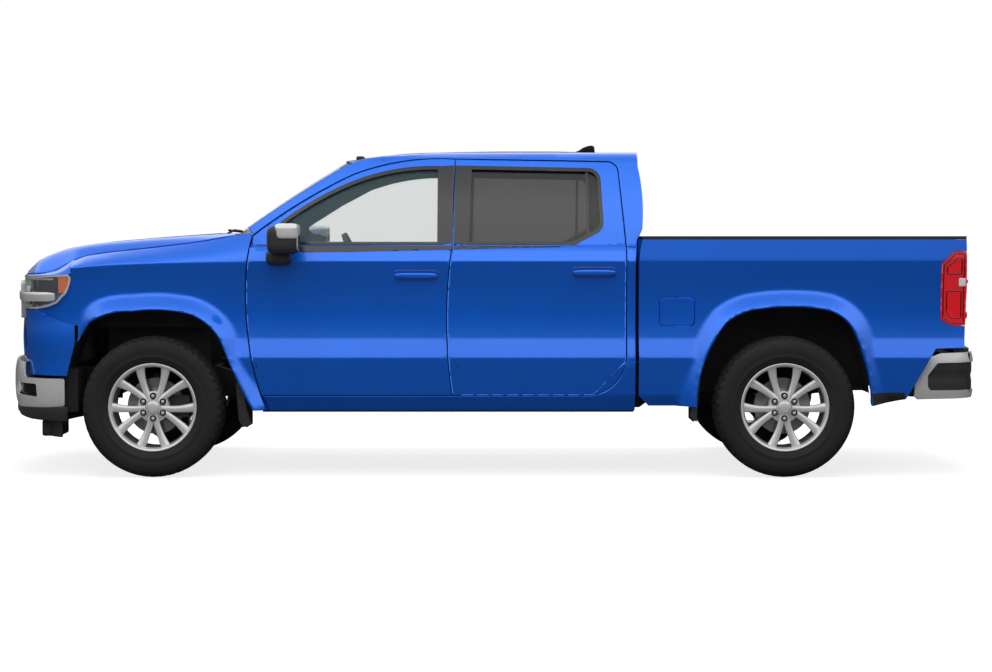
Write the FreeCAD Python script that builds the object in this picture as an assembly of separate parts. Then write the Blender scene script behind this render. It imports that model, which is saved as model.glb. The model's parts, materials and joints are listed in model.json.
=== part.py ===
import FreeCAD, Part
import math
import os

V = FreeCAD.Vector

# Driving dimensions, in millimetres
front_overhang = 969.0
wheelbase = 3745.0
rear_overhang = 1172.0
track = 1737.0
tyre_radius = 419.0
tyre_width = 275.0
rim_radius = 262.0
arch_stand_out = 33.0
roof_height = 1962.0
belt_height = 1372.0
shoulder_height = 1285.0
hollow_top_height = 1180.0
waist_height = 1000.0
shelf_height = 755.0
lower_crease_height = 672.0
sill_height = 490.0
rocker_height = 395.0

# Half widths of the side skin at those heights
rocker_half = 905.0
sill_half = 968.0
lower_crease_half = 998.0
shelf_half = 972.0
waist_half = 966.0
hollow_top_half = 980.0
shoulder_half = 996.0
belt_half = 962.0
rail_half = 986.0

# Stations along the cab and the load bed
door_setback = 556.0
front_door_length = 1185.0
rear_door_length = 1061.0
cab_corner_length = 57.0
bed_gap = 20.0
bed_rail_height = 1412.0
tailgate_setback = 107.0

# Clearances and wall thicknesses shared by many pieces
panel_gap = 6.0
hinge_gap = 8.0
seal_gap = 12.0
fit_gap = 0.3
overrun = 60.0
sheet = 25.0
door_depth = 95.0
frame_depth = 50.0
ring_depth = 180.0
ring_upper_depth = 105.0
glass_thickness = 6.0
glass_inset = 16.0

# Straight chords that stand for each arc, and flat sides that stand for a turned piece
arc_steps = 3
wheel_sides = 36
bar_sides = 12

# Places worked out from the driving dimensions
overall_length = front_overhang + wheelbase + rear_overhang
front_axle = front_overhang - overall_length / 2
rear_axle = front_axle + wheelbase
door_front = front_axle + door_setback
pillar_line = door_front + front_door_length
door_rear = pillar_line + rear_door_length
cab_rear = door_rear + cab_corner_length
bed_front = cab_rear + bed_gap
bed_rear = overall_length / 2 - tailgate_setback
arch_half_width = lower_crease_half + arch_stand_out
axle_height = tyre_radius
wheel_plane = track / 2
cab_length = cab_rear - door_front
door_height = belt_height - sill_height
glass_height = roof_height - belt_height
bed_length = bed_rear - bed_front


def place(plane, u, v, w):
    """Point of a drawing plane: u and v in the plane, w along its normal."""
    if plane == "x":
        return V(w, u, v)
    if plane == "y":
        return V(u, w, v)
    return V(u, v, w)


def chords(start, middle, end):
    """Points along the arc through three points, both ends with them."""
    return Part.Arc(start, middle, end).toShape().discretize(arc_steps + 1)


def corner_points(before, corner, after, radius):
    """Points that round a corner of a flat outline."""
    a = V(before[0] - corner[0], before[1] - corner[1], 0)
    b = V(after[0] - corner[0], after[1] - corner[1], 0)
    a.normalize()
    b.normalize()
    half = math.acos(max(-1, min(1, a.dot(b)))) / 2
    reach = radius / math.tan(half)
    middle = a + b
    middle.normalize()
    depth = radius / math.sin(half) - radius
    c = V(corner[0], corner[1], 0)
    return chords(c + a * reach, c + middle * depth, c + b * reach)


def outline(plane, points, w):
    """Ring of points. A point is (u, v), (u, v, radius) or ("via", u, v) for an arc's middle."""
    count = len(points)
    flat = []
    for i, point in enumerate(points):
        if point[0] == "via":
            flat.append(None)
        elif len(point) == 3:
            flat.append(corner_points(points[i - 1], point, points[(i + 1) % count], point[2]))
        else:
            flat.append([V(point[0], point[1], 0)])
    corners = []
    for i, point in enumerate(points):
        if point[0] == "via":
            arc = chords(flat[i - 1][-1], V(point[1], point[2], 0), flat[(i + 1) % count][0])
            corners += arc[1:-1]
        else:
            corners += flat[i]
    return [place(plane, corner.x, corner.y, w) for corner in corners]


def flat_face(corners):
    return Part.Face(Part.makePolygon(corners + corners[:1]))


def prism(plane, points, w0, w1):
    """Solid between two planes with the given outline."""
    return flat_face(outline(plane, points, w0)).extrude(place(plane, 0, 0, w1 - w0))


def grown(plane, points, by, w0, w1):
    """Prism whose outline is the given one, moved outwards by a distance."""
    wire = flat_face(outline(plane, points, w0)).makeOffset2D(by, 2)
    return Part.Face(wire.Wires[0]).extrude(place(plane, 0, 0, w1 - w0))


def solid_of(faces):
    """Solid inside a closed set of flat faces."""
    shell = Part.Shell(faces)
    shell.sewShape()
    solid = Part.Solid(shell)
    if solid.Volume < 0:
        solid.reverse()
    return solid.removeSplitter()


def end_faces(ring):
    """What closes a ring of points: one face, or a strip of them where the ring isn't flat."""
    if Part.makePolygon(ring + ring[:1]).findPlane():
        return [flat_face(ring)]
    last = len(ring) - 1
    return [flat_face([ring[i], ring[i + 1], ring[last - i - 1], ring[last - i]]) for i in range(len(ring) // 2 - 1)]


def loft(rings):
    """Solid of flat faces through closed rings of points, two triangles where four points twist."""
    faces = end_faces(rings[0]) + end_faces(rings[-1])
    for a, b in zip(rings, rings[1:]):
        for i in range(len(a)):
            j = (i + 1) % len(a)
            normal = (a[j] - a[i]).cross(b[i] - a[i])
            if abs(normal.dot(b[j] - a[i])) < fit_gap * fit_gap * normal.Length / overrun:
                faces.append(flat_face([a[i], a[j], b[j], b[i]]))
            elif (b[j] - a[i]).Length < (b[i] - a[j]).Length:
                faces += [flat_face([a[i], a[j], b[j]]), flat_face([a[i], b[j], b[i]])]
            else:
                faces += [flat_face([a[j], b[j], b[i]]), flat_face([a[j], b[i], a[i]])]
    return solid_of(faces)


def box(x0, x1, y0, y1, z0, z1):
    low = V(min(x0, x1), min(y0, y1), min(z0, z1))
    return Part.makeBox(abs(x1 - x0), abs(y1 - y0), abs(z1 - z0), low)


def cylinder(centre, axis, radius, length):
    return Part.makeCylinder(radius, length, centre, axis)


def rod(a, b, radius):
    """Bar of flat sides between two points."""
    along = b - a
    level = V(0, 0, 1) if abs(along.x) > along.Length / 2 else V(1, 0, 0)
    u = along.cross(level)
    u.normalize()
    v = along.cross(u)
    v.normalize()
    corners = []
    for i in range(bar_sides + 1):
        angle = math.radians(360 * i / bar_sides)
        corners.append(a + u * (radius * math.cos(angle)) + v * (radius * math.sin(angle)))
    return Part.Face(Part.makePolygon(corners)).extrude(along)


def turned(plane, profile, centre, sides):
    """Solid of flat sides round a line: the profile gives (distance along it, radius)."""
    def at(point, i):
        angle = math.radians(360 * i / sides)
        return centre + place(plane, point[1] * math.sin(angle), point[1] * math.cos(angle), point[0])

    faces = []
    for i in range(sides):
        for a, b in zip(profile, profile[1:] + profile[:1]):
            corners = [at(a, i), at(b, i)]
            if b[1] > 0:
                corners.append(at(b, i + 1))
            if a[1] > 0:
                corners.append(at(a, i + 1))
            if len(corners) > 2:
                faces.append(flat_face(corners))
    return solid_of(faces)


def mirrored(shape):
    return shape.mirror(V(0, 0, 0), V(1, 0, 0))


def fused(shapes):
    result = shapes[0]
    if len(shapes) > 1:
        result = result.fuse(shapes[1:])
    return result.removeSplitter()


def both(shape):
    """The piece and its mirror image, as separate solids of one sub-part."""
    return [shape, mirrored(shape)]


written = {}


def save(name, shape):
    """Write one sub-part, given as one shape or as a list of separate solids."""
    solids = []
    for item in shape if isinstance(shape, list) else [shape]:
        solids += item.Solids
    result = solids[0] if len(solids) == 1 else Part.makeCompound(solids)
    result.exportStep("parts/" + name + ".step")
    written[name] = result
    if not result.isValid():
        print("invalid", name)


# Side skin of the body
def lower_rows(top_height, top_half):
    """Half width of the skin at named heights, from the rocker to a panel's top."""
    return [(rocker_height, rocker_half), (sill_height, sill_half),
            (lower_crease_height, lower_crease_half), (shelf_height, shelf_half),
            (waist_height, waist_half), (hollow_top_height, hollow_top_half),
            (shoulder_height, shoulder_half), (top_height, top_half)]


def skin_points(rows, depth, y):
    """Points of the skin from bottom to top, moved inwards."""
    return [V(x - depth, y, z) for z, x in rows]


def ring_between(outer, inner):
    """Closed section between two chains of points."""
    return outer + inner[::-1]


def lower_band(depth0, depth1, y0, y1, top_height=belt_height, top_half=belt_half):
    """Slab of the body side between two depths under the skin."""
    rows = lower_rows(top_height, top_half)
    section = ring_between(skin_points(rows, depth0, y0), skin_points(rows, depth1, y0))
    return flat_face(section).extrude(V(0, y1 - y0, 0))


# Upper body side: glass area and roof rail
belt_ledge = 12.0
upper_lap = 20.0
greenhouse_taper = 60.0
greenhouse_bow = 12.0
roof_rail_half = 745.0
roof_rail_drop = 72.0
roof_rail_height = roof_height - roof_rail_drop
roof_seam_half = 665.0
roof_seam_drop = 26.0
roof_seam_height = roof_height - roof_seam_drop
taper_places_share = [-0.10, 0.20, 0.42, 0.62, 1.08]
taper_amounts_share = [1.00, 0.42, 0.12, 0.00, 0.20]


def upper_wire(depth0, depth1, y, taper):
    """Closed section of the glass area's side wall."""
    base = belt_height - upper_lap
    middle_height = (belt_height + roof_rail_height) / 2
    middle_half = (belt_half + roof_rail_half) / 2 + greenhouse_bow
    roof_mid_half = (roof_rail_half + roof_seam_half) / 2 + greenhouse_bow / 4
    roof_mid_height = (roof_rail_height + roof_seam_height) / 2 + greenhouse_bow / 4

    def side(depth):
        shift = depth + taper
        drop = depth - glass_inset if depth > frame_depth else 0
        return [V(belt_half - belt_ledge - shift, y, base), V(middle_half - shift, y, middle_height),
                V(roof_rail_half - shift, y, roof_rail_height - drop / 2),
                V(roof_mid_half - shift, y, roof_mid_height - drop / 2),
                V(roof_seam_half - shift, y, roof_seam_height - drop / 2)]

    chains = []
    for p in (side(depth0), side(depth1)):
        chains.append(chords(p[0], p[1], p[2]) + chords(p[2], p[3], p[4])[1:])
    return ring_between(*chains)


def taper_at(y):
    """How far the glass area is drawn in at a station."""
    where = (y - door_front) / cab_length
    for i in range(len(taper_places_share) - 1):
        a = taper_places_share[i]
        b = taper_places_share[i + 1]
        if where <= b:
            t = (where - a) / (b - a)
            return greenhouse_taper * (taper_amounts_share[i] * (1 - t) + taper_amounts_share[i + 1] * t)
    return greenhouse_taper * taper_amounts_share[-1]


def upper_band(depth0, depth1):
    wires = []
    for place_share, amount_share in zip(taper_places_share, taper_amounts_share):
        y = door_front + place_share * cab_length
        wires.append(upper_wire(depth0, depth1, y, greenhouse_taper * amount_share))
    return loft(wires)


def greenhouse(share):
    return belt_height + share * glass_height


def door_z(share):
    return sill_height + share * door_height


def front_y(share):
    return door_front + share * front_door_length


def rear_y(share):
    return pillar_line + share * rear_door_length


# Door outlines, as shares of the doors' lengths and of the heights below and above the belt
corner_radius = 62.0
door_lip = 62.0


def front_door_outline():
    return [(front_y(0.076), sill_height), ("via", front_y(0.001), door_z(0.70)),
            (front_y(0.030), greenhouse(0.10)), ("via", front_y(0.285), greenhouse(0.455)),
            (front_y(0.529), greenhouse(0.720)), ("via", front_y(0.735), greenhouse(0.840)),
            (front_y(1.039), greenhouse(0.880)), (front_y(1.025), belt_height),
            ("via", front_y(0.998), door_z(0.50)), (front_y(1.025), sill_height)]


def rear_door_outline():
    gap_share = panel_gap / rear_door_length
    return [(rear_y(0.028 + gap_share), sill_height),
            ("via", rear_y(-0.002 + gap_share), door_z(0.50)),
            (rear_y(0.028 + gap_share), belt_height), (rear_y(0.043 + gap_share), greenhouse(0.880)),
            (rear_y(0.958), greenhouse(0.850), corner_radius),
            (rear_y(1.000), belt_height - panel_gap), (rear_y(1.000), door_z(0.22), corner_radius),
            (rear_y(0.820), sill_height)]


def front_window_outline():
    return [(front_y(0.176), belt_height + glass_inset), (front_y(0.176), greenhouse(0.235)),
            ("via", front_y(0.350), greenhouse(0.465)), (front_y(0.540), greenhouse(0.650)),
            ("via", front_y(0.725), greenhouse(0.755)), (front_y(0.985), greenhouse(0.790)),
            (front_y(0.972), belt_height + glass_inset)]


def rear_window_outline():
    return [(rear_y(0.095), belt_height + glass_inset), (rear_y(0.105), greenhouse(0.795)),
            (rear_y(0.850), greenhouse(0.770), corner_radius),
            (rear_y(0.868), greenhouse(0.180), corner_radius),
            (rear_y(0.700), belt_height + glass_inset)]


def full_door_band(depth0, lower1, upper1):
    """Whole side of the cab from the rocker to the roof seam."""
    lower = lower_band(depth0, lower1, door_front - overrun, cab_rear)
    return lower.fuse(upper_band(depth0, upper1))


# Hinges of the doors: a pin on the pillar, its arm and the pocket in the door
hinge_stand_out = 14.0
hinge_half = shelf_half + hinge_stand_out
hinge_setback = 62.0
hinge_pin_radius = 4.0
hinge_eye_radius = 7.0
hinge_arm_height = 14.0
hinge_arm_width = 12.0
hinge_pin_length = 44.0
hinge_play = 3.0
hinge_heights = [lower_crease_height, shoulder_height - 4.0]


def hinge_arm(y, z):
    """Arm from the pillar out to the pin that the door turns on."""
    inner = shelf_half - door_depth - seal_gap - sheet
    half = hinge_arm_height / 2
    arm = box(inner, hinge_half, y - hinge_arm_width / 2, y + hinge_arm_width / 2, z - half, z + half)
    eye = rod(V(hinge_half, y, z - half), V(hinge_half, y, z + half), hinge_eye_radius)
    low = V(hinge_half, y, z - hinge_pin_length / 2)
    high = V(hinge_half, y, z + hinge_pin_length / 2)
    if z > waist_height:
        pin = rod(low, high, hinge_pin_radius)
    else:
        pin = cylinder(low, V(0, 0, 1), hinge_pin_radius, hinge_pin_length)
    return arm.fuse([eye, pin])


def hinge_pocket(y, front, z):
    """Room in the door for the arm over its whole swing, and the bore for the pin."""
    half = hinge_arm_height / 2 + hinge_play
    inner = shelf_half - door_depth - overrun
    room = box(inner, hinge_half + hinge_eye_radius + fit_gap, front - overrun,
               y + hinge_arm_width / 2 + hinge_play, z - half, z + half)
    reach = hinge_pin_length / 2 + fit_gap
    bore = rod(V(hinge_half, y, z - reach), V(hinge_half, y, z + reach), hinge_pin_radius + 2 * fit_gap)
    return room.fuse(bore)


def swing_relief(y, front):
    """What the door's inner front corner gives up so that it clears the pillar as it swings."""
    reach = hinge_half - (lower_crease_half - door_depth - seal_gap) - panel_gap
    corner = box(shelf_half - door_depth - overrun, hinge_half, front - overrun, y, sill_height - overrun,
                 belt_height - upper_lap)
    return corner.cut(rod(V(hinge_half, y, 0), V(hinge_half, y, roof_height), reach))


front_hinge_y = door_front + hinge_setback
rear_hinge_y = pillar_line + panel_gap + hinge_setback

# Handles, bars on two feet with a shallow recess behind
handle_length = 250.0
handle_height = 34.0
handle_stand = 30.0
handle_depth = 16.0


def handle(y, z, face):
    """Pull handle: a rounded bar on two feet."""
    radius = handle_height / 3
    bar = prism("x", [(y - handle_length / 2, z - handle_height / 2, radius),
                      (y + handle_length / 2, z - handle_height / 2, radius),
                      (y + handle_length / 2, z + handle_height / 2, radius),
                      (y - handle_length / 2, z + handle_height / 2, radius)],
                face + handle_stand - handle_depth, face + handle_stand)
    foot = handle_height / 2
    feet = [box(face - handle_stand, face + handle_stand - handle_depth / 2, y + side - foot / 2,
                y + side + foot / 2, z - foot / 2, z + foot / 2)
            for side in (foot - handle_length / 2, handle_length / 2 - foot)]
    return bar.fuse(feet)


def door(points, window, hinge_y, front, handle_y, handle_z):
    """One left door: thick below the belt, a window frame above it."""
    shape = full_door_band(0, door_depth, frame_depth).common(
        prism("x", points, 0, arch_half_width))
    shape = shape.cut(prism("x", window, 0, arch_half_width))
    shape = shape.cut([hinge_pocket(hinge_y, front, z) for z in hinge_heights])
    shape = shape.cut(swing_relief(hinge_y, front))
    return shape.fuse(handle(handle_y, handle_z, hollow_top_half)).removeSplitter()


def pane(window):
    """Window glass set in from the frame's outer face."""
    return upper_band(glass_inset, glass_inset + glass_thickness).common(
        prism("x", window, 0, arch_half_width))


front_handle_y = front_y(0.845)
rear_handle_y = rear_y(0.820)
front_handle_z = hollow_top_height + handle_height / 2
rear_handle_z = front_handle_z + handle_height / 2


def build_doors():
    shapes = [("door_front", front_door_outline(), front_window_outline(), front_hinge_y, door_front,
               front_handle_y, front_handle_z),
              ("door_rear", rear_door_outline(), rear_window_outline(), rear_hinge_y, pillar_line,
               rear_handle_y, rear_handle_z)]
    for name, points, window, hinge_y, front, handle_y, handle_z in shapes:
        shape = door(points, window, hinge_y, front, handle_y, handle_z)
        glass = pane(window)
        save(name + "_left", shape)
        save(name + "_right", mirrored(shape))
        glass_name = name.replace("door", "window")
        save(glass_name + "_left", glass)
        save(glass_name + "_right", mirrored(glass))


# Cab side: rocker, pillars and roof rail round the two door openings
def windshield_edge():
    """Front edge of the windshield pillar, from the belt to the roof, as (y, z)."""
    return [(front_y(0.001), greenhouse(0.184)),
            ("via", front_y(0.235), greenhouse(0.505)), (front_y(0.470), greenhouse(0.801)),
            ("via", front_y(0.560), greenhouse(0.872)), (front_y(0.700), greenhouse(0.925)),
            (front_y(0.960), greenhouse(0.958))]


rear_wall_bulge = 48.0
rear_wall_step = 12.0


def cab_outline():
    """Side view of the cab's wall."""
    top = roof_height + overrun
    return [(front_y(0.110), rocker_height), (front_y(0.076), sill_height),
            ("via", front_y(0.001), door_z(0.70)),
            (front_y(0.030), greenhouse(0.12))] + windshield_edge() + [
            (front_y(0.960), top), (cab_rear + rear_wall_bulge / 2, top),
            (cab_rear + rear_wall_bulge / 2, greenhouse(0.81)),
            ("via", cab_rear + rear_wall_bulge, greenhouse(0.45)),
            (cab_rear + rear_wall_bulge - rear_wall_step / 2, greenhouse(0.17)),
            (cab_rear + rear_wall_step, greenhouse(0.06)), (cab_rear, shoulder_height),
            (cab_rear, rocker_height)]


def cab_side():
    """Left side frame: the wall less the door pockets and the door openings."""
    shape = full_door_band(0, ring_depth, ring_upper_depth)
    shape = shape.common(prism("x", cab_outline(), 0, arch_half_width))
    pocket = full_door_band(-overrun, door_depth + seal_gap, frame_depth + seal_gap)
    front = front_door_outline()
    rear = rear_door_outline()
    shape = shape.cut(pocket.common(grown("x", front, panel_gap, 0, arch_half_width)))
    shape = shape.cut(pocket.common(grown("x", rear, panel_gap, 0, arch_half_width)))
    shape = shape.cut(grown("x", front, -door_lip, 0, arch_half_width))
    shape = shape.cut(grown("x", rear, -door_lip, 0, arch_half_width))
    arms = [hinge_arm(y, z) for y in (front_hinge_y, rear_hinge_y) for z in hinge_heights]
    return shape.fuse(arms)


def build_cab_sides():
    shape = cab_side().cut(written["roof"])
    shape = max(shape.Solids, key=lambda solid: solid.Volume)
    save("cab_side_frames", both(shape))


# Roof, windshield, rear wall and rear glass
roof_front = front_y(0.510)
roof_rear_offset = 22.0
roof_rear = cab_rear + roof_rear_offset
roof_crown_places_share = [0.0, 0.09, 0.20, 0.31, 0.50, 0.75, 0.945, 1.0]
roof_crown_drops_share = [1.24, 0.66, 0.24, 0.12, 0.00, 0.00, 0.32, 0.50]
roof_bow_shares = [1.0, 0.6, 0.25, 0.0, 0.0, 0.0, 0.0, 0.0]
roof_drop = 50.0
roof_side_drop = 26.0
cab_floor_height = 566.0
floor_thickness = 8.0
firewall_setback = 60.0
windshield_base_height = greenhouse(0.115)
windshield_top_height = greenhouse(0.895)
windshield_base_half = 812.0
windshield_top_half = 640.0
windshield_base_bow = 190.0
windshield_top_bow = 70.0


def roof_panel():
    """Crowned roof between the side frames."""
    wires = []
    for place_share, drop_share, bow_share in zip(roof_crown_places_share, roof_crown_drops_share,
                                                  roof_bow_shares):
        y = roof_front + place_share * (roof_rear - roof_front)
        half = roof_seam_half - taper_at(y)
        top = roof_height - roof_drop * drop_share
        low = top - roof_side_drop
        chain = chords(V(-half, y, low), V(0, y - windshield_top_bow * bow_share, top), V(half, y, low))
        drop = V(0, 0, -sheet)
        wires.append(ring_between(chain, [point + drop for point in chain]))
    return loft(wires)


fin_height = 49.0
fin_length = 136.0
fin_y_offset = 2588.0
fin_y = front_axle + fin_y_offset


def roof_fin():
    """Aerial fin near the back of the roof."""
    low = roof_height - sheet
    top = roof_height + fin_height
    rear = fin_y + fin_length / 2
    return prism("x", [(fin_y - fin_length / 2, low), (fin_y - fin_length / 2, roof_height),
                       (fin_y + fin_length / 4, top, fin_height / 4), (rear, top - fin_height / 5, fin_height / 5),
                       (rear, low)], -fin_height / 2, fin_height / 2)


def bowed_wire(half, edge_y, bow, z, fall, thickness):
    """Section of a curved pane, bulging towards -Y by the bow, its two ends lower by the fall."""
    shift = V(0, thickness, 0)
    chain = chords(V(-half, edge_y, z - fall), V(0, edge_y - bow, z), V(half, edge_y, z - fall))
    return ring_between(chain, [point + shift for point in chain])


def windshield():
    base_y = front_y(0.030)
    top_y = front_y(0.520)
    wires = [bowed_wire(windshield_base_half, base_y, windshield_base_bow, windshield_base_height, 0,
                        glass_thickness * 2),
             bowed_wire(windshield_top_half, top_y, windshield_top_bow, windshield_top_height, roof_side_drop,
                        glass_thickness)]
    return loft(wires)


rear_wall_thickness = 40.0
rear_glass_half = 640.0
rear_glass_low = greenhouse(0.10)
rear_glass_high = greenhouse(0.78)


def rear_wall_profile():
    """Side view of the cab's rear wall, its outer face first."""
    inner = rear_wall_thickness
    low = cab_floor_height - floor_thickness
    return [(cab_rear, low), (cab_rear, shoulder_height),
            (cab_rear + rear_wall_step, greenhouse(0.06)),
            (cab_rear + rear_wall_bulge - rear_wall_step / 2, greenhouse(0.17)),
            ("via", cab_rear + rear_wall_bulge, greenhouse(0.45)),
            (cab_rear + rear_wall_bulge / 2, greenhouse(0.81)),
            (cab_rear + rear_wall_bulge / 2, roof_seam_height - sheet * 2),
            (cab_rear + rear_wall_bulge / 2 - inner, roof_seam_height - sheet * 2),
            (cab_rear + rear_wall_bulge / 2 - inner, greenhouse(0.81)),
            ("via", cab_rear + rear_wall_bulge - inner, greenhouse(0.45)),
            (cab_rear + rear_wall_bulge - rear_wall_step / 2 - inner, greenhouse(0.17)),
            (cab_rear - inner, greenhouse(0.06)), (cab_rear - inner, low)]


def rear_glass_outline(clear):
    """Rear view of the glass, grown by a clearance."""
    low = rear_glass_low - clear
    high = rear_glass_high + clear
    half = rear_glass_half + clear
    return [(-half, low, corner_radius), (half, low, corner_radius),
            (half - corner_radius, high, corner_radius), (-half + corner_radius, high, corner_radius)]


def build_roof():
    save("roof", roof_panel().fuse(roof_fin()))


def build_cab_ends():
    roof = written["roof"]
    ring = written["cab_side_frames"].Solids[0]
    front = windshield()
    front = front.cut([ring, mirrored(ring), roof])
    front = max(front.Solids, key=lambda solid: solid.Volume)
    inner_half = shoulder_half - ring_depth + fit_gap
    wall = prism("x", rear_wall_profile(), -inner_half, inner_half)
    glass_band = prism("y", rear_glass_outline(0), cab_rear - overrun, cab_rear + 2 * overrun)
    opened = wall.cut(glass_band).cut([ring, mirrored(ring), roof])
    save("cab_rear_wall", max(opened.Solids, key=lambda solid: solid.Volume))
    pane_wall = wall.translated(V(0, -glass_inset, 0)).common(wall)
    pane_wall = pane_wall.cut(wall.translated(V(0, -glass_inset - glass_thickness, 0)))
    pane_part = pane_wall.common(glass_band)
    save("cab_glass", [front, max(pane_part.Solids, key=lambda solid: solid.Volume)])


# Cab floor and firewall
firewall_thickness = 12.0
tunnel_half = 170.0
tunnel_height = 120.0
cowl_depth = 150.0


def build_cab_floor():
    half = shoulder_half - ring_depth - fit_gap
    front = door_front + firewall_setback
    floor = box(-half, half, front, cab_rear - rear_wall_thickness - fit_gap, cab_floor_height - floor_thickness,
                cab_floor_height)
    tunnel = prism("y", [(-tunnel_half, cab_floor_height), (-tunnel_half / 2, cab_floor_height + tunnel_height, sheet),
                         (tunnel_half / 2, cab_floor_height + tunnel_height, sheet), (tunnel_half, cab_floor_height)],
                   front, cab_rear - rear_wall_thickness - fit_gap)
    bore = prism("y", [(-tunnel_half + sheet / 2, cab_floor_height - overrun),
                       (-tunnel_half / 2 + sheet / 2, cab_floor_height + tunnel_height - floor_thickness, sheet),
                       (tunnel_half / 2 - sheet / 2, cab_floor_height + tunnel_height - floor_thickness, sheet),
                       (tunnel_half - sheet / 2, cab_floor_height - overrun)],
                 front - overrun, cab_rear + overrun)
    firewall = box(-half, half, front, front + firewall_thickness, cab_floor_height - floor_thickness,
                   windshield_base_height - cowl_depth)
    shape = floor.fuse([tunnel, firewall]).cut([bore, written["cab_side_frames"]])
    save("cab_floor", max(shape.Solids, key=lambda solid: solid.Volume))


# Front fenders, swept in towards the lamps
fender_places_share = [0.00, 0.26, 0.46, 0.66, 0.80, 0.90, 1.00]
fender_shoulders_share = [0.00, 0.05, 0.12, 0.24, 0.42, 0.68, 1.00]
fender_seams_share = [0.00, 0.27, 0.405, 0.513, 0.625, 0.963, 1.00]
fender_tucks_share = [0.00, 0.00, 0.01, 0.05, 0.17, 0.45, 1.00]
fender_length = 1290.0
fender_tuck = 170.0
fender_shoulder_drop = 82.0
fender_seam_drop = 267.0
fender_seam_half = 895.0
fender_seam_height = 1475.0


def fender_wire(depth0, depth1, y, shoulder, seam, tuck):
    """Section of a front fender, from below the door line to the hood's seam."""
    rows = lower_rows(belt_height, belt_half)[:6]

    def side(depth):
        p = [V(x - depth - tuck, y, z) for z, x in rows]
        p.append(V(shoulder_half - depth - tuck, y, shoulder))
        top_half = fender_seam_half - tuck * 2 / 3
        middle = V((shoulder_half - tuck + 2 * top_half) / 3 + sheet / 2 - depth * 2 / 3, y,
                   shoulder + (seam - shoulder) * 2 / 3 - depth / 2)
        p.append(middle)
        p.append(V(top_half, y, seam - depth))
        return p

    chains = []
    for p in (side(depth0), side(depth1)):
        chains.append(p[:6] + chords(p[6], p[7], p[8]))
    return ring_between(*chains)


def fender_band(depth0, depth1):
    wires = []
    start = door_front + corner_radius * 2
    for i, place_share in enumerate(fender_places_share):
        y = start - place_share * (fender_length + corner_radius * 2)
        shoulder = shoulder_height - fender_shoulder_drop * fender_shoulders_share[i]
        seam = fender_seam_height - fender_seam_drop * fender_seams_share[i]
        wires.append(fender_wire(depth0, depth1, y, shoulder, seam, fender_tuck * fender_tucks_share[i]))
    return loft(wires)


# Wheel arches: squarish openings with a broad flare
front_arch_shares = [(-1.01, 0.25), (-0.93, 0.68), (-0.72, 0.98), (-0.30, 1.13), (0.30, 1.135),
                     (0.76, 0.93), (0.96, 0.50), (1.19, -0.02)]
rear_arch_shares = [(-1.05, 0.20), (-0.93, 0.69), (-0.70, 1.01), (-0.30, 1.165), (0.30, 1.185),
                    (0.75, 1.01), (0.94, 0.62), (0.99, 0.20)]
arch_reach = 500.0
flare_width = 96.0
flare_root_depth = 66.0
arch_depth = 330.0


def arch_outline(axle, shares, grow):
    """Arch opening in side view, from below the body on one side to the other."""
    reach = arch_reach + grow
    top = [(axle + a * reach, axle_height + b * reach) for a, b in shares]
    floor = axle_height - arch_reach
    points = [(top[0][0], floor), top[0]]
    points += [("via", *top[1]), top[2], ("via", *top[3]), top[4], ("via", *top[5]), top[6]]
    points += [top[7], (top[7][0], floor)]
    return points


def arch_hole(axle, shares):
    return prism("x", arch_outline(axle, shares, 0), arch_half_width - arch_depth,
                 arch_half_width + overrun)


def flare(axle, shares):
    """Raised band round the opening, standing out to the arch's lip."""
    root = outline("x", arch_outline(axle, shares, flare_width), arch_half_width - flare_root_depth)
    lip = outline("x", arch_outline(axle, shares, flare_width / 6), arch_half_width)
    return loft([root, lip])


def fender_outline():
    rear = hinge_gap
    return [(front_y(0.110) - rear, rocker_height), (front_y(0.076) - rear, sill_height),
            ("via", front_y(0.001) - rear, door_z(0.70)),
            (front_y(0.030) - rear, greenhouse(0.10)), (front_y(0.030) - rear, fender_seam_height + overrun),
            (headlamp_rear, fender_seam_height + overrun), (headlamp_rear, headlamp_top - panel_gap),
            (headlamp_rear - panel_gap, headlamp_middle),
            (headlamp_front + headlamp_nose, headlamp_bottom - panel_gap),
            (fascia_seam, fascia_seam_height), (fascia_seam, rocker_height)]


# Headlamps
headlamp_rear_offset = 476.0
headlamp_rear = front_axle - headlamp_rear_offset
headlamp_front_offset = 760.0
headlamp_front = front_axle - headlamp_front_offset
headlamp_top = 1212.0
headlamp_middle = 1130.0
headlamp_bottom = 1000.0
headlamp_nose = 60.0
headlamp_depth = 110.0
fascia_seam_offset = 440.0
fascia_seam = front_axle - fascia_seam_offset
fascia_seam_height = 900.0

# Nose: pieces cut from shells that share one plan curve
nose_face_half = 760.0
nose_sweep = 118.0
nose_corner_half = 925.0
nose_corner_length = 90.0
nose_side_half = 972.0
nose_side_length = 330.0
nose_back = 560.0


def nose_plan(setback):
    """Plan of the front end, its tip set back from the foremost point."""
    tip = setback - overall_length / 2
    face = tip + nose_sweep
    corner = face + nose_corner_length
    side = face + nose_side_length
    back = tip + nose_back
    return [(-nose_face_half, face), ("via", 0, tip), (nose_face_half, face),
            ("via", nose_corner_half, corner), (nose_side_half, side), (nose_side_half, back),
            (-nose_side_half, back), (-nose_side_half, side), ("via", -nose_corner_half, corner)]


def nose_shell(z0, z1, setback, depth):
    plan = nose_plan(setback)
    return prism("z", plan, z0, z1).cut(grown("z", plan, -depth, z0 - overrun, z1 + overrun))


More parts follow.
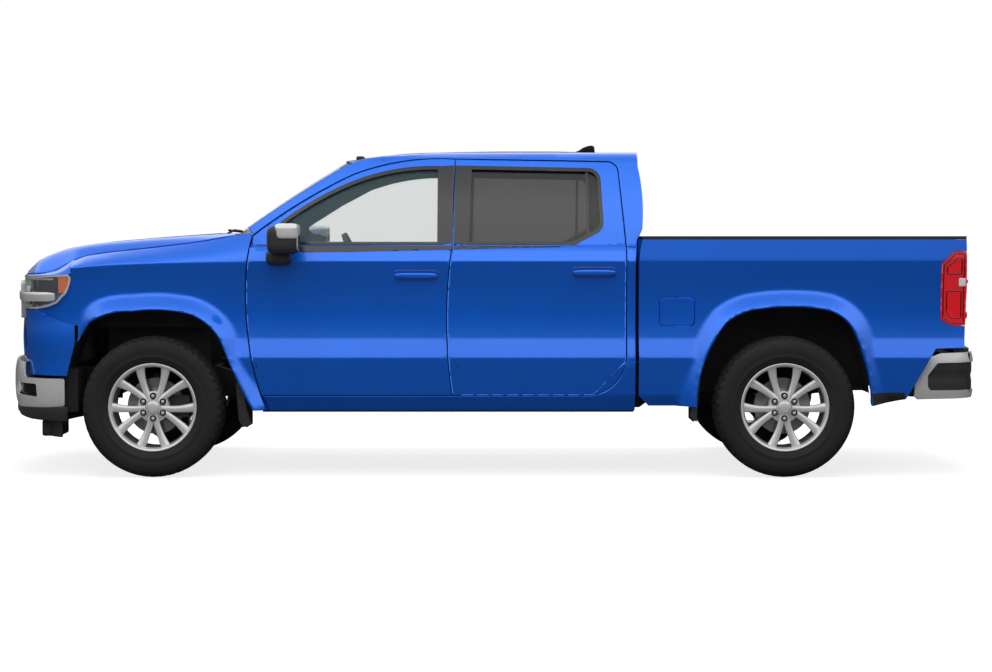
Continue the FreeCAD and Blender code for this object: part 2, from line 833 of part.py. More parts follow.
# Heights and setbacks of the nose pieces
bumper_low = 410.0
bumper_high = 690.0
bumper_depth = 70.0
bumper_corner_rear_offset = 523.0
bumper_corner_rear = front_axle - bumper_corner_rear_offset
bumper_lip = 18.0
fog_height = 80.0
fog_half = 720.0
fog_width = 170.0
intake_half = 460.0
intake_low = 470.0
intake_high = 585.0
dam_low = 236.0
dam_setback = 95.0
dam_depth = 60.0
dam_half = 690.0
dam_rear_offset = 560.0
dam_rear = front_axle - dam_rear_offset
fascia_setback = 62.0
fascia_depth = 40.0
fascia_high = 935.0
grille_setback = 48.0
grille_high = 1164.0
grille_half = 600.0
grille_depth = 55.0
grille_rim = 34.0
grille_bar = 46.0
grille_bars = 3
lamp_setback = 70.0


def build_nose():
    far = arch_half_width + overrun
    bumper = nose_shell(bumper_low, bumper_high, 0, bumper_depth)
    bumper = bumper.common(box(-far, far, -overall_length, bumper_corner_rear, 0, roof_height))
    hollow = nose_shell(bumper_low + bumper_lip, bumper_high - bumper_lip, bumper_lip, bumper_depth)
    bumper = bumper.cut(hollow)
    intake = box(-intake_half, intake_half, -overall_length, front_axle - fog_width, intake_low, intake_high)
    fog = prism("y", [(fog_half - fog_width / 2, intake_low + bumper_lip, bumper_lip),
                      (fog_half + fog_width / 2, intake_low + bumper_lip, bumper_lip),
                      (fog_half + fog_width / 2, intake_low + bumper_lip + fog_height, bumper_lip),
                      (fog_half - fog_width / 2, intake_low + bumper_lip + fog_height, bumper_lip)],
                -overall_length, front_axle)
    save("front_bumper", bumper.cut([intake, fog, mirrored(fog)]))

    dam = nose_shell(dam_low, bumper_low - fit_gap, dam_setback, dam_depth)
    slope = prism("x", [(dam_rear, bumper_low), (dam_rear, dam_low), (dam_rear - dam_setback, dam_low),
                        (dam_rear - dam_setback, dam_low + dam_setback),
                        (-overall_length / 2 + dam_setback + dam_depth, dam_low + dam_setback * 1.2),
                        (-overall_length / 2 + dam_setback, bumper_low - sheet), (-overall_length, bumper_low)],
                  -dam_half * 1.3, dam_half * 1.3)
    save("air_dam", dam.common(slope))

    fascia = nose_shell(bumper_high + fit_gap, fascia_high, fascia_setback, fascia_depth)
    wing = nose_shell(bumper_high - bumper_lip * 4, headlamp_bottom - panel_gap, fascia_setback, fascia_depth)
    wing = wing.common(box(-far, far, bumper_corner_rear + panel_gap, front_axle, 0, roof_height))
    corner = prism("x", [(fascia_seam - panel_gap, 0), (fascia_seam - panel_gap, fascia_seam_height),
                         (headlamp_front, headlamp_bottom - panel_gap), (-overall_length, headlamp_bottom - panel_gap),
                         (-overall_length, 0)], -far, far)
    save("front_fascia", fascia.fuse(wing).common(corner).cut(
        [arch_hole(front_axle, front_arch_shares), mirrored(arch_hole(front_axle, front_arch_shares))]))

    grille = nose_shell(fascia_high + fit_gap, grille_high, grille_setback, grille_depth)
    grille = grille.common(box(-grille_half, grille_half, -overall_length, front_axle - nose_back, 0, roof_height))
    pitch = (grille_high - fascia_high - 2 * grille_rim - grille_bar * grille_bars) / (grille_bars + 1)
    for i in range(grille_bars + 1):
        low = fascia_high + grille_rim + i * (pitch + grille_bar)
        grille = grille.cut(box(-grille_half + grille_rim, grille_half - grille_rim, -overall_length,
                                front_axle, low, low + pitch))
    save("grille", grille)

    lamp = nose_shell(headlamp_bottom, headlamp_top, lamp_setback, headlamp_depth)
    lid = written["hood"]
    lamp = lamp.cut([lid, lid.translated(V(0, 0, -panel_gap))])
    side = prism("x", [(headlamp_rear - panel_gap, headlamp_top), (headlamp_rear - panel_gap * 2, headlamp_middle),
                       (headlamp_front + headlamp_nose, headlamp_bottom),
                       (-overall_length, headlamp_bottom), (-overall_length, headlamp_top)],
                 grille_half + fit_gap, far)
    lamp = lamp.common(side)
    save("headlamps", both(max(lamp.Solids, key=lambda solid: solid.Volume)))


# Hood, a crowned lid that drops to a seam along each fender
hood_rear_offset = 62.0
hood_rear = door_front - hood_rear_offset
hood_length = 1370.0
hood_half = 888.0
hood_crown_half = 760.0
hood_thickness = 26.0
hood_places_share = [0.00, 0.17, 0.38, 0.60, 0.71, 0.80, 0.87, 0.94, 1.00]
hood_crown_drops_share = [0.00, 0.06, 0.14, 0.24, 0.33, 0.45, 0.60, 0.80, 1.00]
hood_edge_drops_share = [0.08, 0.25, 0.386, 0.516, 0.646, 0.96, 1.00, 1.02, 1.04]
hood_top = 1464.0
hood_drop = 254.0
hood_crown = 12.0
hood_tip_half = 560.0
hood_lamp_half = 862.0
hood_rear_bow = 190.0
hood_tip_sweep = 50.0
hood_hinge_inset = 40.0
hood_hinge_drop = 44.0
hood_pin_radius = 4.0
hood_pin_length = 34.0


def hood_pin(grow):
    """Hinge pin at the hood's left rear corner, from the fender into the hood."""
    start = V(hood_half - hood_pin_length + panel_gap - grow, hood_rear - hood_hinge_inset, hood_top - hood_hinge_drop)
    return cylinder(start, V(1, 0, 0), hood_pin_radius + grow, hood_pin_length + fit_gap * 10)


def build_hood():
    wires = []
    for place_share, crown_share, edge_share in zip(hood_places_share, hood_crown_drops_share,
                                                    hood_edge_drops_share):
        y = hood_rear - place_share * hood_length
        top = hood_top - hood_drop * crown_share
        brow = top - hood_crown
        edge = min(hood_top - hood_drop * edge_share, brow - hood_crown)
        mid_half = hood_crown_half + (hood_half - hood_crown_half) * 2 / 3
        mid = brow - (brow - edge) / 3
        chain = [V(-hood_half, y, edge), V(-mid_half, y, mid), V(-hood_crown_half, y, brow), V(0, y, top),
                 V(hood_crown_half, y, brow), V(mid_half, y, mid), V(hood_half, y, edge)]
        drop = V(0, 0, -hood_thickness)
        top_chain = chords(*chain[:3]) + chords(*chain[2:5])[1:] + chords(*chain[4:])[1:]
        wires.append(ring_between(top_chain, [point + drop for point in top_chain]))
    lid = loft(wires)
    front = hood_rear - hood_length
    right = [(hood_crown_half, headlamp_front + headlamp_nose / 2), (hood_lamp_half, headlamp_rear),
             (hood_half, front_axle - hood_tip_sweep * 3), (hood_half, hood_rear)]
    plan = [(-x, y) for x, y in reversed(right)] + [(-hood_tip_half, front + hood_tip_sweep),
                                                    ("via", 0, front + panel_gap),
                                                    (hood_tip_half, front + hood_tip_sweep)]
    plan += right + [("via", 0, hood_rear - hood_rear_bow)]
    shape = lid.common(prism("z", plan, 0, roof_height)).cut([hood_pin(fit_gap), mirrored(hood_pin(fit_gap))])
    save("hood", max(shape.Solids, key=lambda solid: solid.Volume))


def build_fenders():
    lid = written["hood"]
    shape = fender_band(0, sheet).common(prism("x", fender_outline(), 0, arch_half_width))
    shape = shape.cut([lid.translated(V(panel_gap, 0, 0)), lid.translated(V(0, 0, -panel_gap)), lid])
    band = flare(front_axle, front_arch_shares).common(prism("x", [
        (fascia_seam, axle_height - arch_reach), (door_front, axle_height - arch_reach),
        (door_front, shoulder_height), (fascia_seam, shoulder_height)], 0, arch_half_width + overrun))
    shape = shape.fuse([band, hood_pin(0)])
    shape = shape.cut([arch_hole(front_axle, front_arch_shares), written["cab_side_frames"]])
    shape = shape.cut(box(0, arch_half_width + overrun, front_y(0.110) - hinge_gap * 2, door_front + overrun, 0,
                          rocker_height + overrun / 2))
    save("front_fenders", both(max(shape.Solids, key=lambda solid: solid.Volume)))


rail_front_low = 505.0
rail_front_height = 130.0
rail_top = rail_front_low + rail_front_height + fit_gap


# Front structure: aprons, radiator support and the liners of the wheel wells
apron_half = 575.0
apron_thickness = 14.0
apron_low = 880.0
apron_high = 1170.0
support_y_offset = 640.0
support_y = front_axle - support_y_offset
support_depth = 40.0
support_half = 740.0
support_low = rail_top
support_high = 1160.0
support_bar = 70.0
radiator_thickness = 26.0
liner_gap = 14.0
liner_thickness = 6.0


def build_front_structure():
    rear = door_front + firewall_setback - fit_gap
    apron = box(apron_half, apron_half + apron_thickness, support_y + support_depth, rear, apron_low, apron_high)
    frame = box(-support_half, support_half, support_y, support_y + support_depth, support_low, support_high)
    frame = frame.cut(box(-support_half + support_bar, support_half - support_bar, support_y - overrun,
                          support_y + overrun, support_low + support_bar, support_high - support_bar))
    inset = (support_depth - radiator_thickness) / 2
    core = box(-support_half + support_bar, support_half - support_bar, support_y + inset,
               support_y + support_depth - inset, support_low + support_bar, support_high - support_bar)
    save("front_structure", fused([frame, core, apron, mirrored(apron)]))
    outer = grown("x", arch_outline(front_axle, front_arch_shares, 0), liner_gap + liner_thickness,
                  apron_half + apron_thickness + fit_gap, waist_half - sheet - overrun / 2)
    inner = grown("x", arch_outline(front_axle, front_arch_shares, 0), liner_gap, 0, arch_half_width)
    liner = outer.cut([inner, written["front_bumper"], written["front_fenders"]])
    liner = liner.cut(box(0, arch_half_width, support_y - overrun * 2, door_front + overrun * 2, 0,
                          rocker_height + overrun * 2))
    liner = liner.cut(box(0, arch_half_width, support_y - overrun * 4, support_y + support_depth + fit_gap, 0,
                          roof_height))
    save("wheel_liners", both(max(liner.Solids, key=lambda solid: solid.Volume)))


# Cowl between hood and windshield, with the wipers on it
cowl_half = 800.0
cowl_low_offset = 66.0
cowl_low = windshield_base_height - cowl_low_offset
cowl_lap = 40.0


def build_cowl():
    """Panel between the hood's rear edge and the windshield's foot."""
    front = hood_rear + panel_gap * 3
    rear = front_y(0.030) + cowl_lap
    plan = [(-cowl_half, front), ("via", 0, front - hood_rear_bow), (cowl_half, front), (cowl_half, rear),
            ("via", 0, rear - windshield_base_bow), (-cowl_half, rear)]
    panel = prism("z", plan, cowl_low, windshield_base_height - fit_gap)
    save("cowl", panel.cut(written["cab_side_frames"]).Solids[0])


# Load bed: floor, bulkhead, wheelhouses
bed_floor_height = 872.0
bed_floor_thickness = 22.0
bed_sill_reach = 450.0
bed_wall = 78.0
bulkhead_thickness = 36.0
wheelhouse_half = 642.0
wheelhouse_height = 1098.0
wheelhouse_reach = 560.0
wheelhouse_radius = 120.0
bed_inner_half = waist_half - bed_wall
tailgate_half = 772.0
tailgate_thickness = 60.0
tailgate_hinge_height_offset = 4.0
tailgate_hinge_height = bed_floor_height + tailgate_hinge_height_offset
tailgate_axis = 27.0
tailgate_pin_radius = 9.0
tailgate_pin_length = 24.0


def build_load_bed():
    half = bed_inner_half - fit_gap
    top = bed_floor_height
    swing = math.hypot(tailgate_axis, tailgate_thickness / 2) + panel_gap
    floor = box(-half, half, bed_front, bed_rear - corner_post / 2 - fit_gap, top - bed_floor_thickness, top)
    lip = box(-tailgate_half, tailgate_half, bed_front, bed_rear - tailgate_axis - swing,
              top - bed_floor_thickness, top)
    bulkhead = box(-half, half, bed_front, bed_front + bulkhead_thickness, top - bed_floor_thickness, bed_rail_height)
    shape = floor.fuse([lip, bulkhead])

    def house(grow):
        reach = wheelhouse_reach - grow
        return prism("x", [(rear_axle - reach, top - overrun), (rear_axle - reach * 0.86, wheelhouse_height - grow,
                                                                wheelhouse_radius),
                           (rear_axle + reach * 0.86, wheelhouse_height - grow, wheelhouse_radius),
                           (rear_axle + reach, top - overrun)], wheelhouse_half + grow, half)

    outer = house(0).common(box(0, half, bed_front, bed_rear, top - bed_floor_thickness, roof_height))
    inner = house(bed_floor_thickness / 2)
    shape = shape.fuse([outer, mirrored(outer)]).cut([inner, mirrored(inner)])
    half = rail_inner + rail_width
    sills = [(rear_axle - bed_sill_reach, rail_rear_low + rail_rear_height),
             (rear_axle + bed_sill_reach * 0.65, rail_rear_low + rail_rear_height),
             (rail_rear_y - cross_size, rail_tail_low + rail_rear_height)]
    sills = [box(-half, half, y - cross_size / 2, y + cross_size / 2, low + fit_gap, top - bed_floor_thickness)
             for y, low in sills]
    shape = shape.fuse(sills).cut(written["bed_sides"])
    save("load_bed", max(shape.Solids, key=lambda solid: solid.Volume))


def bed_side_outline():
    low = rocker_height + overrun / 2
    return [(bed_front, sill_height), (bed_front, shoulder_height),
            ("via", bed_front + bed_gap / 3, (shoulder_height + bed_rail_height) / 2),
            (bed_front + bed_gap, bed_rail_height), (bed_rear - fit_gap, bed_rail_height),
            (bed_rear + panel_gap, (shoulder_height + waist_height) / 2), (bed_rear - panel_gap, bumper_top + panel_gap),
            (bed_rear - bed_step, bumper_top), (rear_arch_rear, sill_height - sheet),
            (rear_arch_rear - overrun * 4, low), (bed_front + overrun, low)]


bumper_top = 768.0
bed_step = 176.0
rear_arch_rear_offset = 720.0
rear_arch_rear = rear_axle + rear_arch_rear_offset
corner_post = 190.0
fuel_door_y_offset = 226.0
fuel_door_y = bed_front + fuel_door_y_offset
fuel_door_z = 986.0
fuel_door_length = 208.0
fuel_door_height = 170.0
fuel_pocket_depth = 66.0
fuel_door_thickness = 8.0
fuel_pin_inset = 3.0
fuel_pin_setback = 10.0
fuel_pin_radius = 2.5
fuel_pin_reach = 9.0


def fuel_outline(grow):
    a = fuel_door_length / 2 + grow
    b = fuel_door_height / 2 + grow
    r = fuel_door_height / 20
    y = fuel_door_y
    z = fuel_door_z
    return [(y - a, z - b, r), (y + a, z - b, r), (y + a, z + b, r), (y - a, z + b, r)]


def fuel_pin(grow):
    """Hinge pin along the fuel door's front edge."""
    reach = fuel_door_height / 2 + fuel_pin_reach + grow
    low = V(waist_half - fuel_pin_inset, fuel_door_y - fuel_door_length / 2 + fuel_pin_setback,
            fuel_door_z - reach)
    return cylinder(low, V(0, 0, 1), fuel_pin_radius + grow, 2 * reach)


def bed_band(depth0, depth1):
    return lower_band(depth0, depth1, bed_front - overrun, bed_rear + overrun, bed_rail_height, rail_half)


def tail_lamp_outline(grow):
    low = tail_lamp_low - grow
    high = tail_lamp_high + grow
    front = bed_rear - tail_lamp_length - grow
    return [(front, low + corner_radius * 2 / 3, sheet), (front + corner_radius, low), (bed_rear + overrun, low),
            (bed_rear + overrun, high), (front + corner_radius * 1.2, high, sheet),
            (front, high - corner_radius * 1.2, sheet)]


tail_lamp_low = 902.0
tail_lamp_high = 1345.0
tail_lamp_length = 148.0
tail_lamp_width = 112.0


def tail_lamp_room(grow):
    return prism("x", tail_lamp_outline(grow), shoulder_half - tail_lamp_width - grow, arch_half_width)


def build_bed_sides():
    shape = bed_band(0, bed_wall)
    post = bed_band(0, corner_post).common(box(0, arch_half_width, bed_rear - corner_post / 2, bed_rear + overrun, 0,
                                               roof_height))
    post = post.cut(box(0, tailgate_half + panel_gap, 0, overall_length, 0, roof_height))
    shape = shape.fuse(post).common(prism("x", bed_side_outline(), 0, arch_half_width))
    shape = shape.fuse(flare(rear_axle, rear_arch_shares).common(
        box(0, arch_half_width, bed_front, bed_rear, rocker_height + overrun / 2, shoulder_height)))
    shape = shape.cut(arch_hole(rear_axle, rear_arch_shares).common(
        box(wheelhouse_half, arch_half_width + overrun, 0, overall_length, 0, roof_height)))
    pocket = bed_band(-overrun, fuel_pocket_depth).common(prism("x", fuel_outline(panel_gap / 2), 0, arch_half_width))
    room = tail_lamp_room(fit_gap)
    pin = cylinder(V(tailgate_half - tailgate_pin_length + fit_gap, bed_rear - tailgate_axis, tailgate_hinge_height),
                   V(1, 0, 0), tailgate_pin_radius, tailgate_pin_length + corner_post / 2)
    shape = shape.fuse(pin)
    bores = fuel_pin(fit_gap)
    left = shape.cut([pocket, room, bores])
    right = shape.cut(room)
    save("bed_sides", [max(left.Solids, key=lambda solid: solid.Volume),
                       mirrored(max(right.Solids, key=lambda solid: solid.Volume))])
    lamp = bed_band(0, corner_post).common(prism("x", tail_lamp_outline(0), shoulder_half - tail_lamp_width,
                                                 arch_half_width))
    save("tail_lamps", both(lamp.common(box(0, arch_half_width, 0, bed_rear + panel_gap, 0, roof_height))))
    lid = bed_band(0, fuel_door_thickness).common(prism("x", fuel_outline(-panel_gap / 2), 0, arch_half_width))
    save("fuel_door", lid.fuse(fuel_pin(0)))


# Rail caps, tailgate
cap_height = 20.0
cap_overhang = 6.0


def build_rail_caps():
    cap = box(bed_inner_half - cap_overhang, rail_half, bed_front + bed_gap, bed_rear - fit_gap,
              bed_rail_height + fit_gap, bed_rail_height + cap_height)
    half = bed_inner_half - cap_overhang - fit_gap
    front = box(-half, half, bed_front + bed_gap, bed_front + bulkhead_thickness, bed_rail_height + fit_gap,
                bed_rail_height + cap_height)
    save("rail_caps", both(cap) + [front])


def build_tailgate():
    half = tailgate_half
    low = tailgate_hinge_height - tailgate_thickness / 2
    points = [(bed_rear - tailgate_thickness + panel_gap, low), (bed_rear, low),
              ("via", bed_rear + panel_gap, (low + bed_rail_height) / 2), (bed_rear, bed_rail_height + cap_height),
              (bed_rear - tailgate_thickness + panel_gap, bed_rail_height + cap_height)]
    bore = cylinder(V(-half - overrun, bed_rear - tailgate_axis, tailgate_hinge_height), V(1, 0, 0),
                    tailgate_pin_radius + fit_gap, 2 * (half + overrun))
    ends = box(-half + tailgate_pin_length, half - tailgate_pin_length, 0, overall_length, 0, roof_height)
    save("tailgate", prism("x", points, -half, half).cut(bore.cut(ends)))


# Rear bumper with its step pad
step_pad = 22.0
rear_bumper_low = 470.0
rear_bumper_half = 950.0
rear_bumper_depth = 170.0
rear_bumper_radius = 110.0
rear_bumper_front = overall_length / 2 - 405.0


def rear_bumper_plan(inset):
    rear = overall_length / 2 - inset
    half = rear_bumper_half - inset
    front = rear_bumper_front
    centre = rear_bumper_half / 2
    return [(-half, front), (half, front), (half, rear - rear_bumper_radius / 2, rear_bumper_radius / 2),
            (centre, rear), (-centre, rear), (-half, rear - rear_bumper_radius / 2, rear_bumper_radius / 2)]


def build_rear_bumper():
    high = bumper_top - step_pad
    outer = prism("z", rear_bumper_plan(0), rear_bumper_low, high)
    inner = prism("z", rear_bumper_plan(bumper_lip), rear_bumper_low - overrun, high - bumper_lip)
    middle = box(-rear_bumper_half + bumper_depth, rear_bumper_half - bumper_depth, 0,
                 overall_length / 2 - rear_bumper_depth, 0, bumper_top)
    slope = (bumper_top - sill_height + sheet) / (bed_rear - bed_step - rear_arch_rear)
    drop = (bed_rear - bed_step - rear_bumper_front) * slope
    wing = prism("x", [(rear_bumper_front, rear_bumper_low), (overall_length / 2, rear_bumper_low),
                       (overall_length / 2, high), (bed_rear - bed_step, high),
                       (rear_bumper_front, high - drop)], -rear_bumper_half, rear_bumper_half)
    bracket = box(rail_inner, rail_inner + rail_width, rail_rear_y + fit_gap, overall_length / 2 - bumper_lip / 2,
                  rail_tail_low + rail_rear_height / 4, rail_tail_low + rail_rear_height * 3 / 4)
    shell = outer.cut([inner, middle]).common(wing)
    save("rear_bumper", shell.fuse([bracket, mirrored(bracket)]))
    pad = prism("z", rear_bumper_plan(bumper_lip), high + fit_gap, bumper_top)
    front = box(-arch_half_width, arch_half_width, 0, overall_length / 2 - rear_bumper_depth, 0, bumper_top)
    save("step_pads", pad.cut(front))

# Ladder frame
rail_inner = 392.0
rail_width = 80.0
rail_mid_low = 380.0
rail_mid_height = 160.0
rail_rear_low = 640.0
rail_rear_height = 130.0
rail_tail_low = 545.0
rail_front_y_offset = 690.0
rail_front_y = front_axle - rail_front_y_offset
rail_rear_y_offset = 960.0
rail_rear_y = rear_axle + rail_rear_y_offset
cross_size = 90.0
spring_half = 518.0
spring_width = 64.0
spring_thickness = 30.0
spring_reach = 640.0
spring_sag = 70.0
axle_tube_radius = 44.0


def rail():
    """One side rail, kicked up over each axle."""
    low = rail_mid_low
    high = low + rail_mid_height
    points = [(rail_front_y, rail_front_low), (front_axle + 270, rail_front_low), (front_axle + 560, low),
              (rear_axle - 830, low), (rear_axle - 480, rail_rear_low), (rear_axle + 330, rail_rear_low),
              (rear_axle + 560, rail_tail_low), (rail_rear_y, rail_tail_low),
              (rail_rear_y, rail_tail_low + rail_rear_height), (rear_axle + 600, rail_tail_low + rail_rear_height),
              (rear_axle + 370, rail_rear_low + rail_rear_height), (rear_axle - 540, rail_rear_low + rail_rear_height),
              (rear_axle - 890, high), (front_axle + 610, high), (front_axle + 320, rail_front_low + rail_front_height),
              (rail_front_y, rail_front_low + rail_front_height)]
    return prism("x", points, rail_inner, rail_inner + rail_width)


def cross_member(y, low, height):
    half = rail_inner - fit_gap
    return box(-half, half, y - cross_size / 2, y + cross_size / 2, low, low + height)


receiver_half = 32.0
receiver_height = 446.0
receiver_back = 8.0
receiver_bore = 25.5
receiver_length = 170.0
receiver_pin_radius = 8.2


def build_frame():
    one = rail()
    members = [cross_member(rail_front_y + cross_size, rail_front_low, rail_front_height / 2),
               cross_member(front_axle + 150, rail_front_low - cross_size / 2, cross_size / 2 + fit_gap),
               cross_member(front_axle + 900, rail_mid_low, cross_size / 2),
               cross_member(rear_axle - 1500, rail_mid_low, cross_size / 4),
               cross_member(rear_axle - 560, rail_mid_low + rail_mid_height, cross_size),
               cross_member(rear_axle + 420, rail_rear_low, cross_size / 2),
               cross_member(rail_rear_y - cross_size, rail_tail_low, cross_size)]
    hangers = []
    for end in (-1, 1):
        y = rear_axle + end * spring_reach
        z = spring_end_height
        hangers.append(box(rail_inner + rail_width - fit_gap, spring_half + spring_width / 2, y - cross_size / 3,
                           y + cross_size / 3, z + spring_thickness + fit_gap, z + spring_thickness + cross_size))
    tower = box(rail_inner + rail_width - fit_gap, rail_inner + rail_width + overrun, front_axle - cross_size,
                front_axle + cross_size, upper_arm_height - cross_size / 2, upper_arm_height + cross_size)
    side = fused([one, tower] + hangers)
    rear = overall_length / 2 - rear_bumper_depth / 2
    z = receiver_height
    receiver = box(-receiver_half, receiver_half, rear - receiver_length, rear, z - receiver_half,
                   z + receiver_half)
    neck = box(-receiver_half, receiver_half, rail_rear_y - cross_size, rear - receiver_length / 2,
               z + receiver_half, rail_tail_low - fit_gap)
    bore = box(-receiver_bore, receiver_bore, rear - receiver_length + receiver_back, rear + overrun,
               z - receiver_bore, z + receiver_bore)
    pin = cylinder(V(-overrun, rear - overrun, z), V(1, 0, 0), receiver_pin_radius, 2 * overrun)
    save("ladder_frame", both(side) + members + [fused([receiver, neck]).cut([bore, pin])])


spring_end_height = axle_height + axle_tube_radius + spring_sag
upper_arm_height = 590.0
lower_arm_height = 262.0
kingpin_half = 798.0
arm_thickness = 30.0
ball_radius = 22.0
pinion_length = 230.0
diff_radius = 150.0


diff_shares = [(-1.00, 0.00), (-1.00, 0.32), (-0.62, 0.85), (-0.20, 1.00), (0.20, 1.00), (0.62, 0.85),
               (1.00, 0.32), (1.00, 0.00)]


def build_rear_axle():
    tube = rod(V(-hub_face, rear_axle, axle_height), V(hub_face, rear_axle, axle_height), axle_tube_radius)
    spindle = cylinder(V(-spindle_end, rear_axle, axle_height), V(1, 0, 0), spindle_radius, 2 * spindle_end)
    bowl = turned("x", [(share * diff_radius, tall * diff_radius) for share, tall in diff_shares],
                  V(0, rear_axle, axle_height), bar_sides)
    nose = turned("y", [(0, 0), (0, diff_radius * 0.75), (-pinion_length, diff_radius * 0.4),
                        (-pinion_length, 0)], V(0, rear_axle, axle_height), bar_sides)
    save("rear_axle", fused([tube, spindle, bowl, nose]))


def build_rear_springs():
    z = spring_end_height
    mid = z - spring_sag
    t = spring_thickness
    a = rear_axle - spring_reach - cross_size / 3
    b = rear_axle + spring_reach + cross_size / 3
    leaf = prism("x", [(a, z), ("via", rear_axle, mid), (b, z), (b, z + t), ("via", rear_axle, mid + t), (a, z + t)],
                 spring_half - spring_width / 2, spring_half + spring_width / 2)
    save("leaf_springs", both(leaf))


damper_radius = 26.0
damper_lean = 150.0


def build_dampers():
    x = rail_inner - damper_radius - fit_gap
    top = V(x, rear_axle - damper_lean, rail_rear_low + cross_size)
    low = V(x, rear_axle - axle_tube_radius - damper_radius - fit_gap * 4, axle_height)
    rear = rod(low, top, damper_radius)
    coil = rod(V(apron_half, front_axle, lower_arm_height + arm_thickness),
               V(apron_half, front_axle, upper_arm_height - arm_thickness * 1.5), damper_radius * 1.8)
    save("dampers", both(rear) + both(coil))


# Front suspension arms, knuckles, steering
arm_root_half = rail_inner + rail_width
arm_spread = 140.0
hub_face = 826.0
spindle_end = 864.0
spindle_radius = 28.0
knuckle_half_width = 20.0
disc_radius = 168.0
disc_thickness = 26.0
steering_arm_length = 130.0
rack_height = 392.0
rack_radius = 26.0
rack_rod_radius = 11.0
rack_half_length = 330.0
tie_rod_half_offset = 20.0
tie_rod_half = kingpin_half - tie_rod_half_offset
caliper_width = 130.0


def arm_plate(z, thickness, root):
    """Wishbone in plan: two legs from the frame to the ball joint."""
    tip = kingpin_half - ball_radius * 2
    plate = prism("z", [(root, front_axle - arm_spread), (root, front_axle + arm_spread),
                        (tip, front_axle + ball_radius * 1.4), (tip, front_axle - ball_radius * 1.4)],
                  z - thickness / 2, z + thickness / 2)
    hole = prism("z", [(root - overrun, front_axle - arm_spread * 0.62), (root - overrun, front_axle + arm_spread * 0.62),
                       (tip - arm_spread * 0.9, front_axle)], z - thickness, z + thickness)
    return plate.cut(hole)


def build_front_suspension():
    upper = arm_plate(upper_arm_height, arm_thickness, arm_root_half + overrun)
    lower = arm_plate(lower_arm_height, arm_thickness, arm_root_half - rail_width / 2)
    for z in (upper_arm_height, lower_arm_height):
        tip = kingpin_half - ball_radius * 2 - fit_gap
        start = V(kingpin_half, front_axle, z - arm_thickness / 2)
        joint = cylinder(start, V(0, 0, 1), ball_radius, arm_thickness)
        if z == upper_arm_height:
            joint = rod(start, start + V(0, 0, arm_thickness), ball_radius)
        neck = box(tip, kingpin_half, front_axle - ball_radius, front_axle + ball_radius, z - arm_thickness / 2,
                   z + arm_thickness / 2)
        if z == upper_arm_height:
            upper = upper.fuse([joint, neck])
        else:
            lower = lower.fuse([joint, neck])
    hanger = box(arm_root_half - rail_width / 2, arm_root_half, front_axle - arm_spread, front_axle + arm_spread,
                 lower_arm_height + arm_thickness / 2 - fit_gap, rail_front_low - fit_gap)
    hanger = hanger.cut(box(0, arm_half_far, front_axle - steering_arm_length - overrun,
                            front_axle + arm_spread - overrun, rack_height - overrun, rack_height + overrun))
    lower = lower.fuse(hanger)
    save("front_arms", both(upper) + both(lower))


arm_half_far = 1000.0


def build_knuckle():
    low = lower_arm_height + arm_thickness / 2 + fit_gap
    high = upper_arm_height - arm_thickness / 2 - fit_gap
    x0 = kingpin_half - knuckle_half_width
    post = box(x0, kingpin_half + knuckle_half_width / 2, front_axle - ball_radius, front_axle + ball_radius, low, high)
    boss = rod(V(x0, front_axle, axle_height), V(hub_face, front_axle, axle_height), ball_radius * 2.2)
    spindle = cylinder(V(x0, front_axle, axle_height), V(1, 0, 0), spindle_radius, spindle_end - x0)
    z = rack_height + rack_rod_radius + fit_gap
    arm = box(x0, kingpin_half, front_axle - steering_arm_length - rack_rod_radius, front_axle, z, z + arm_thickness)
    y = front_axle + disc_radius * 0.45
    back = box(x0, hub_face - seal_gap / 2, front_axle, y + caliper_width / 2, axle_height - ball_radius,
               axle_height + ball_radius)
    caliper = box(x0, hub_face + disc_thickness + sheet, y + seal_gap, y + caliper_width, axle_height - caliper_width / 2,
                  axle_height + caliper_width / 2)
    slot = turned("x", [(0, 0), (0, disc_radius + seal_gap), (disc_thickness + seal_gap, disc_radius + seal_gap),
                        (disc_thickness + seal_gap, 0)], V(hub_face - seal_gap / 2, front_axle, axle_height),
                  wheel_sides)
    save("knuckle_left", fused([post, boss, arm, back, caliper.cut(slot)]).fuse(spindle))
    save("knuckle_right", mirrored(written["knuckle_left"]))


def build_steering():
    y = front_axle - steering_arm_length
    housing = rod(V(-rack_half_length, y, rack_height), V(rack_half_length, y, rack_height), rack_radius)
    bar = rod(V(-tie_rod_half, y, rack_height), V(tie_rod_half, y, rack_height), rack_rod_radius)
    bore = rod(V(-tie_rod_half, y, rack_height), V(tie_rod_half, y, rack_height), rack_rod_radius + fit_gap)
    ears = [box(side * rack_half_length * 0.7 - rack_radius, side * rack_half_length * 0.7 + rack_radius,
                y, front_axle + 150 - cross_size / 2 - fit_gap, rack_height, rack_height + rack_radius * 0.8)
            for side in (-1, 1)]
    save("steering_rack", fused([housing] + ears).cut(bore))
    save("tie_rods", bar)


# Wheels
barrel_half = 116.0
barrel_wall = 11.0
spoke_count = 10
spoke_first_angle = -36.0
spoke_root_angle = 6.0
spoke_tip_angle = 19.0
spoke_root_radius = 59.0
spoke_tip_radius = 255.4
spoke_outer_x = 92.0
spoke_root_depth = 48.0
spoke_tip_depth = 36.0
spoke_root_half = 17.0
spoke_tip_half = 14.0
hub_radius = 74.0
hub_cap_radius = 42.0
hub_dome_share = 0.8
spoke_face_share = 0.8


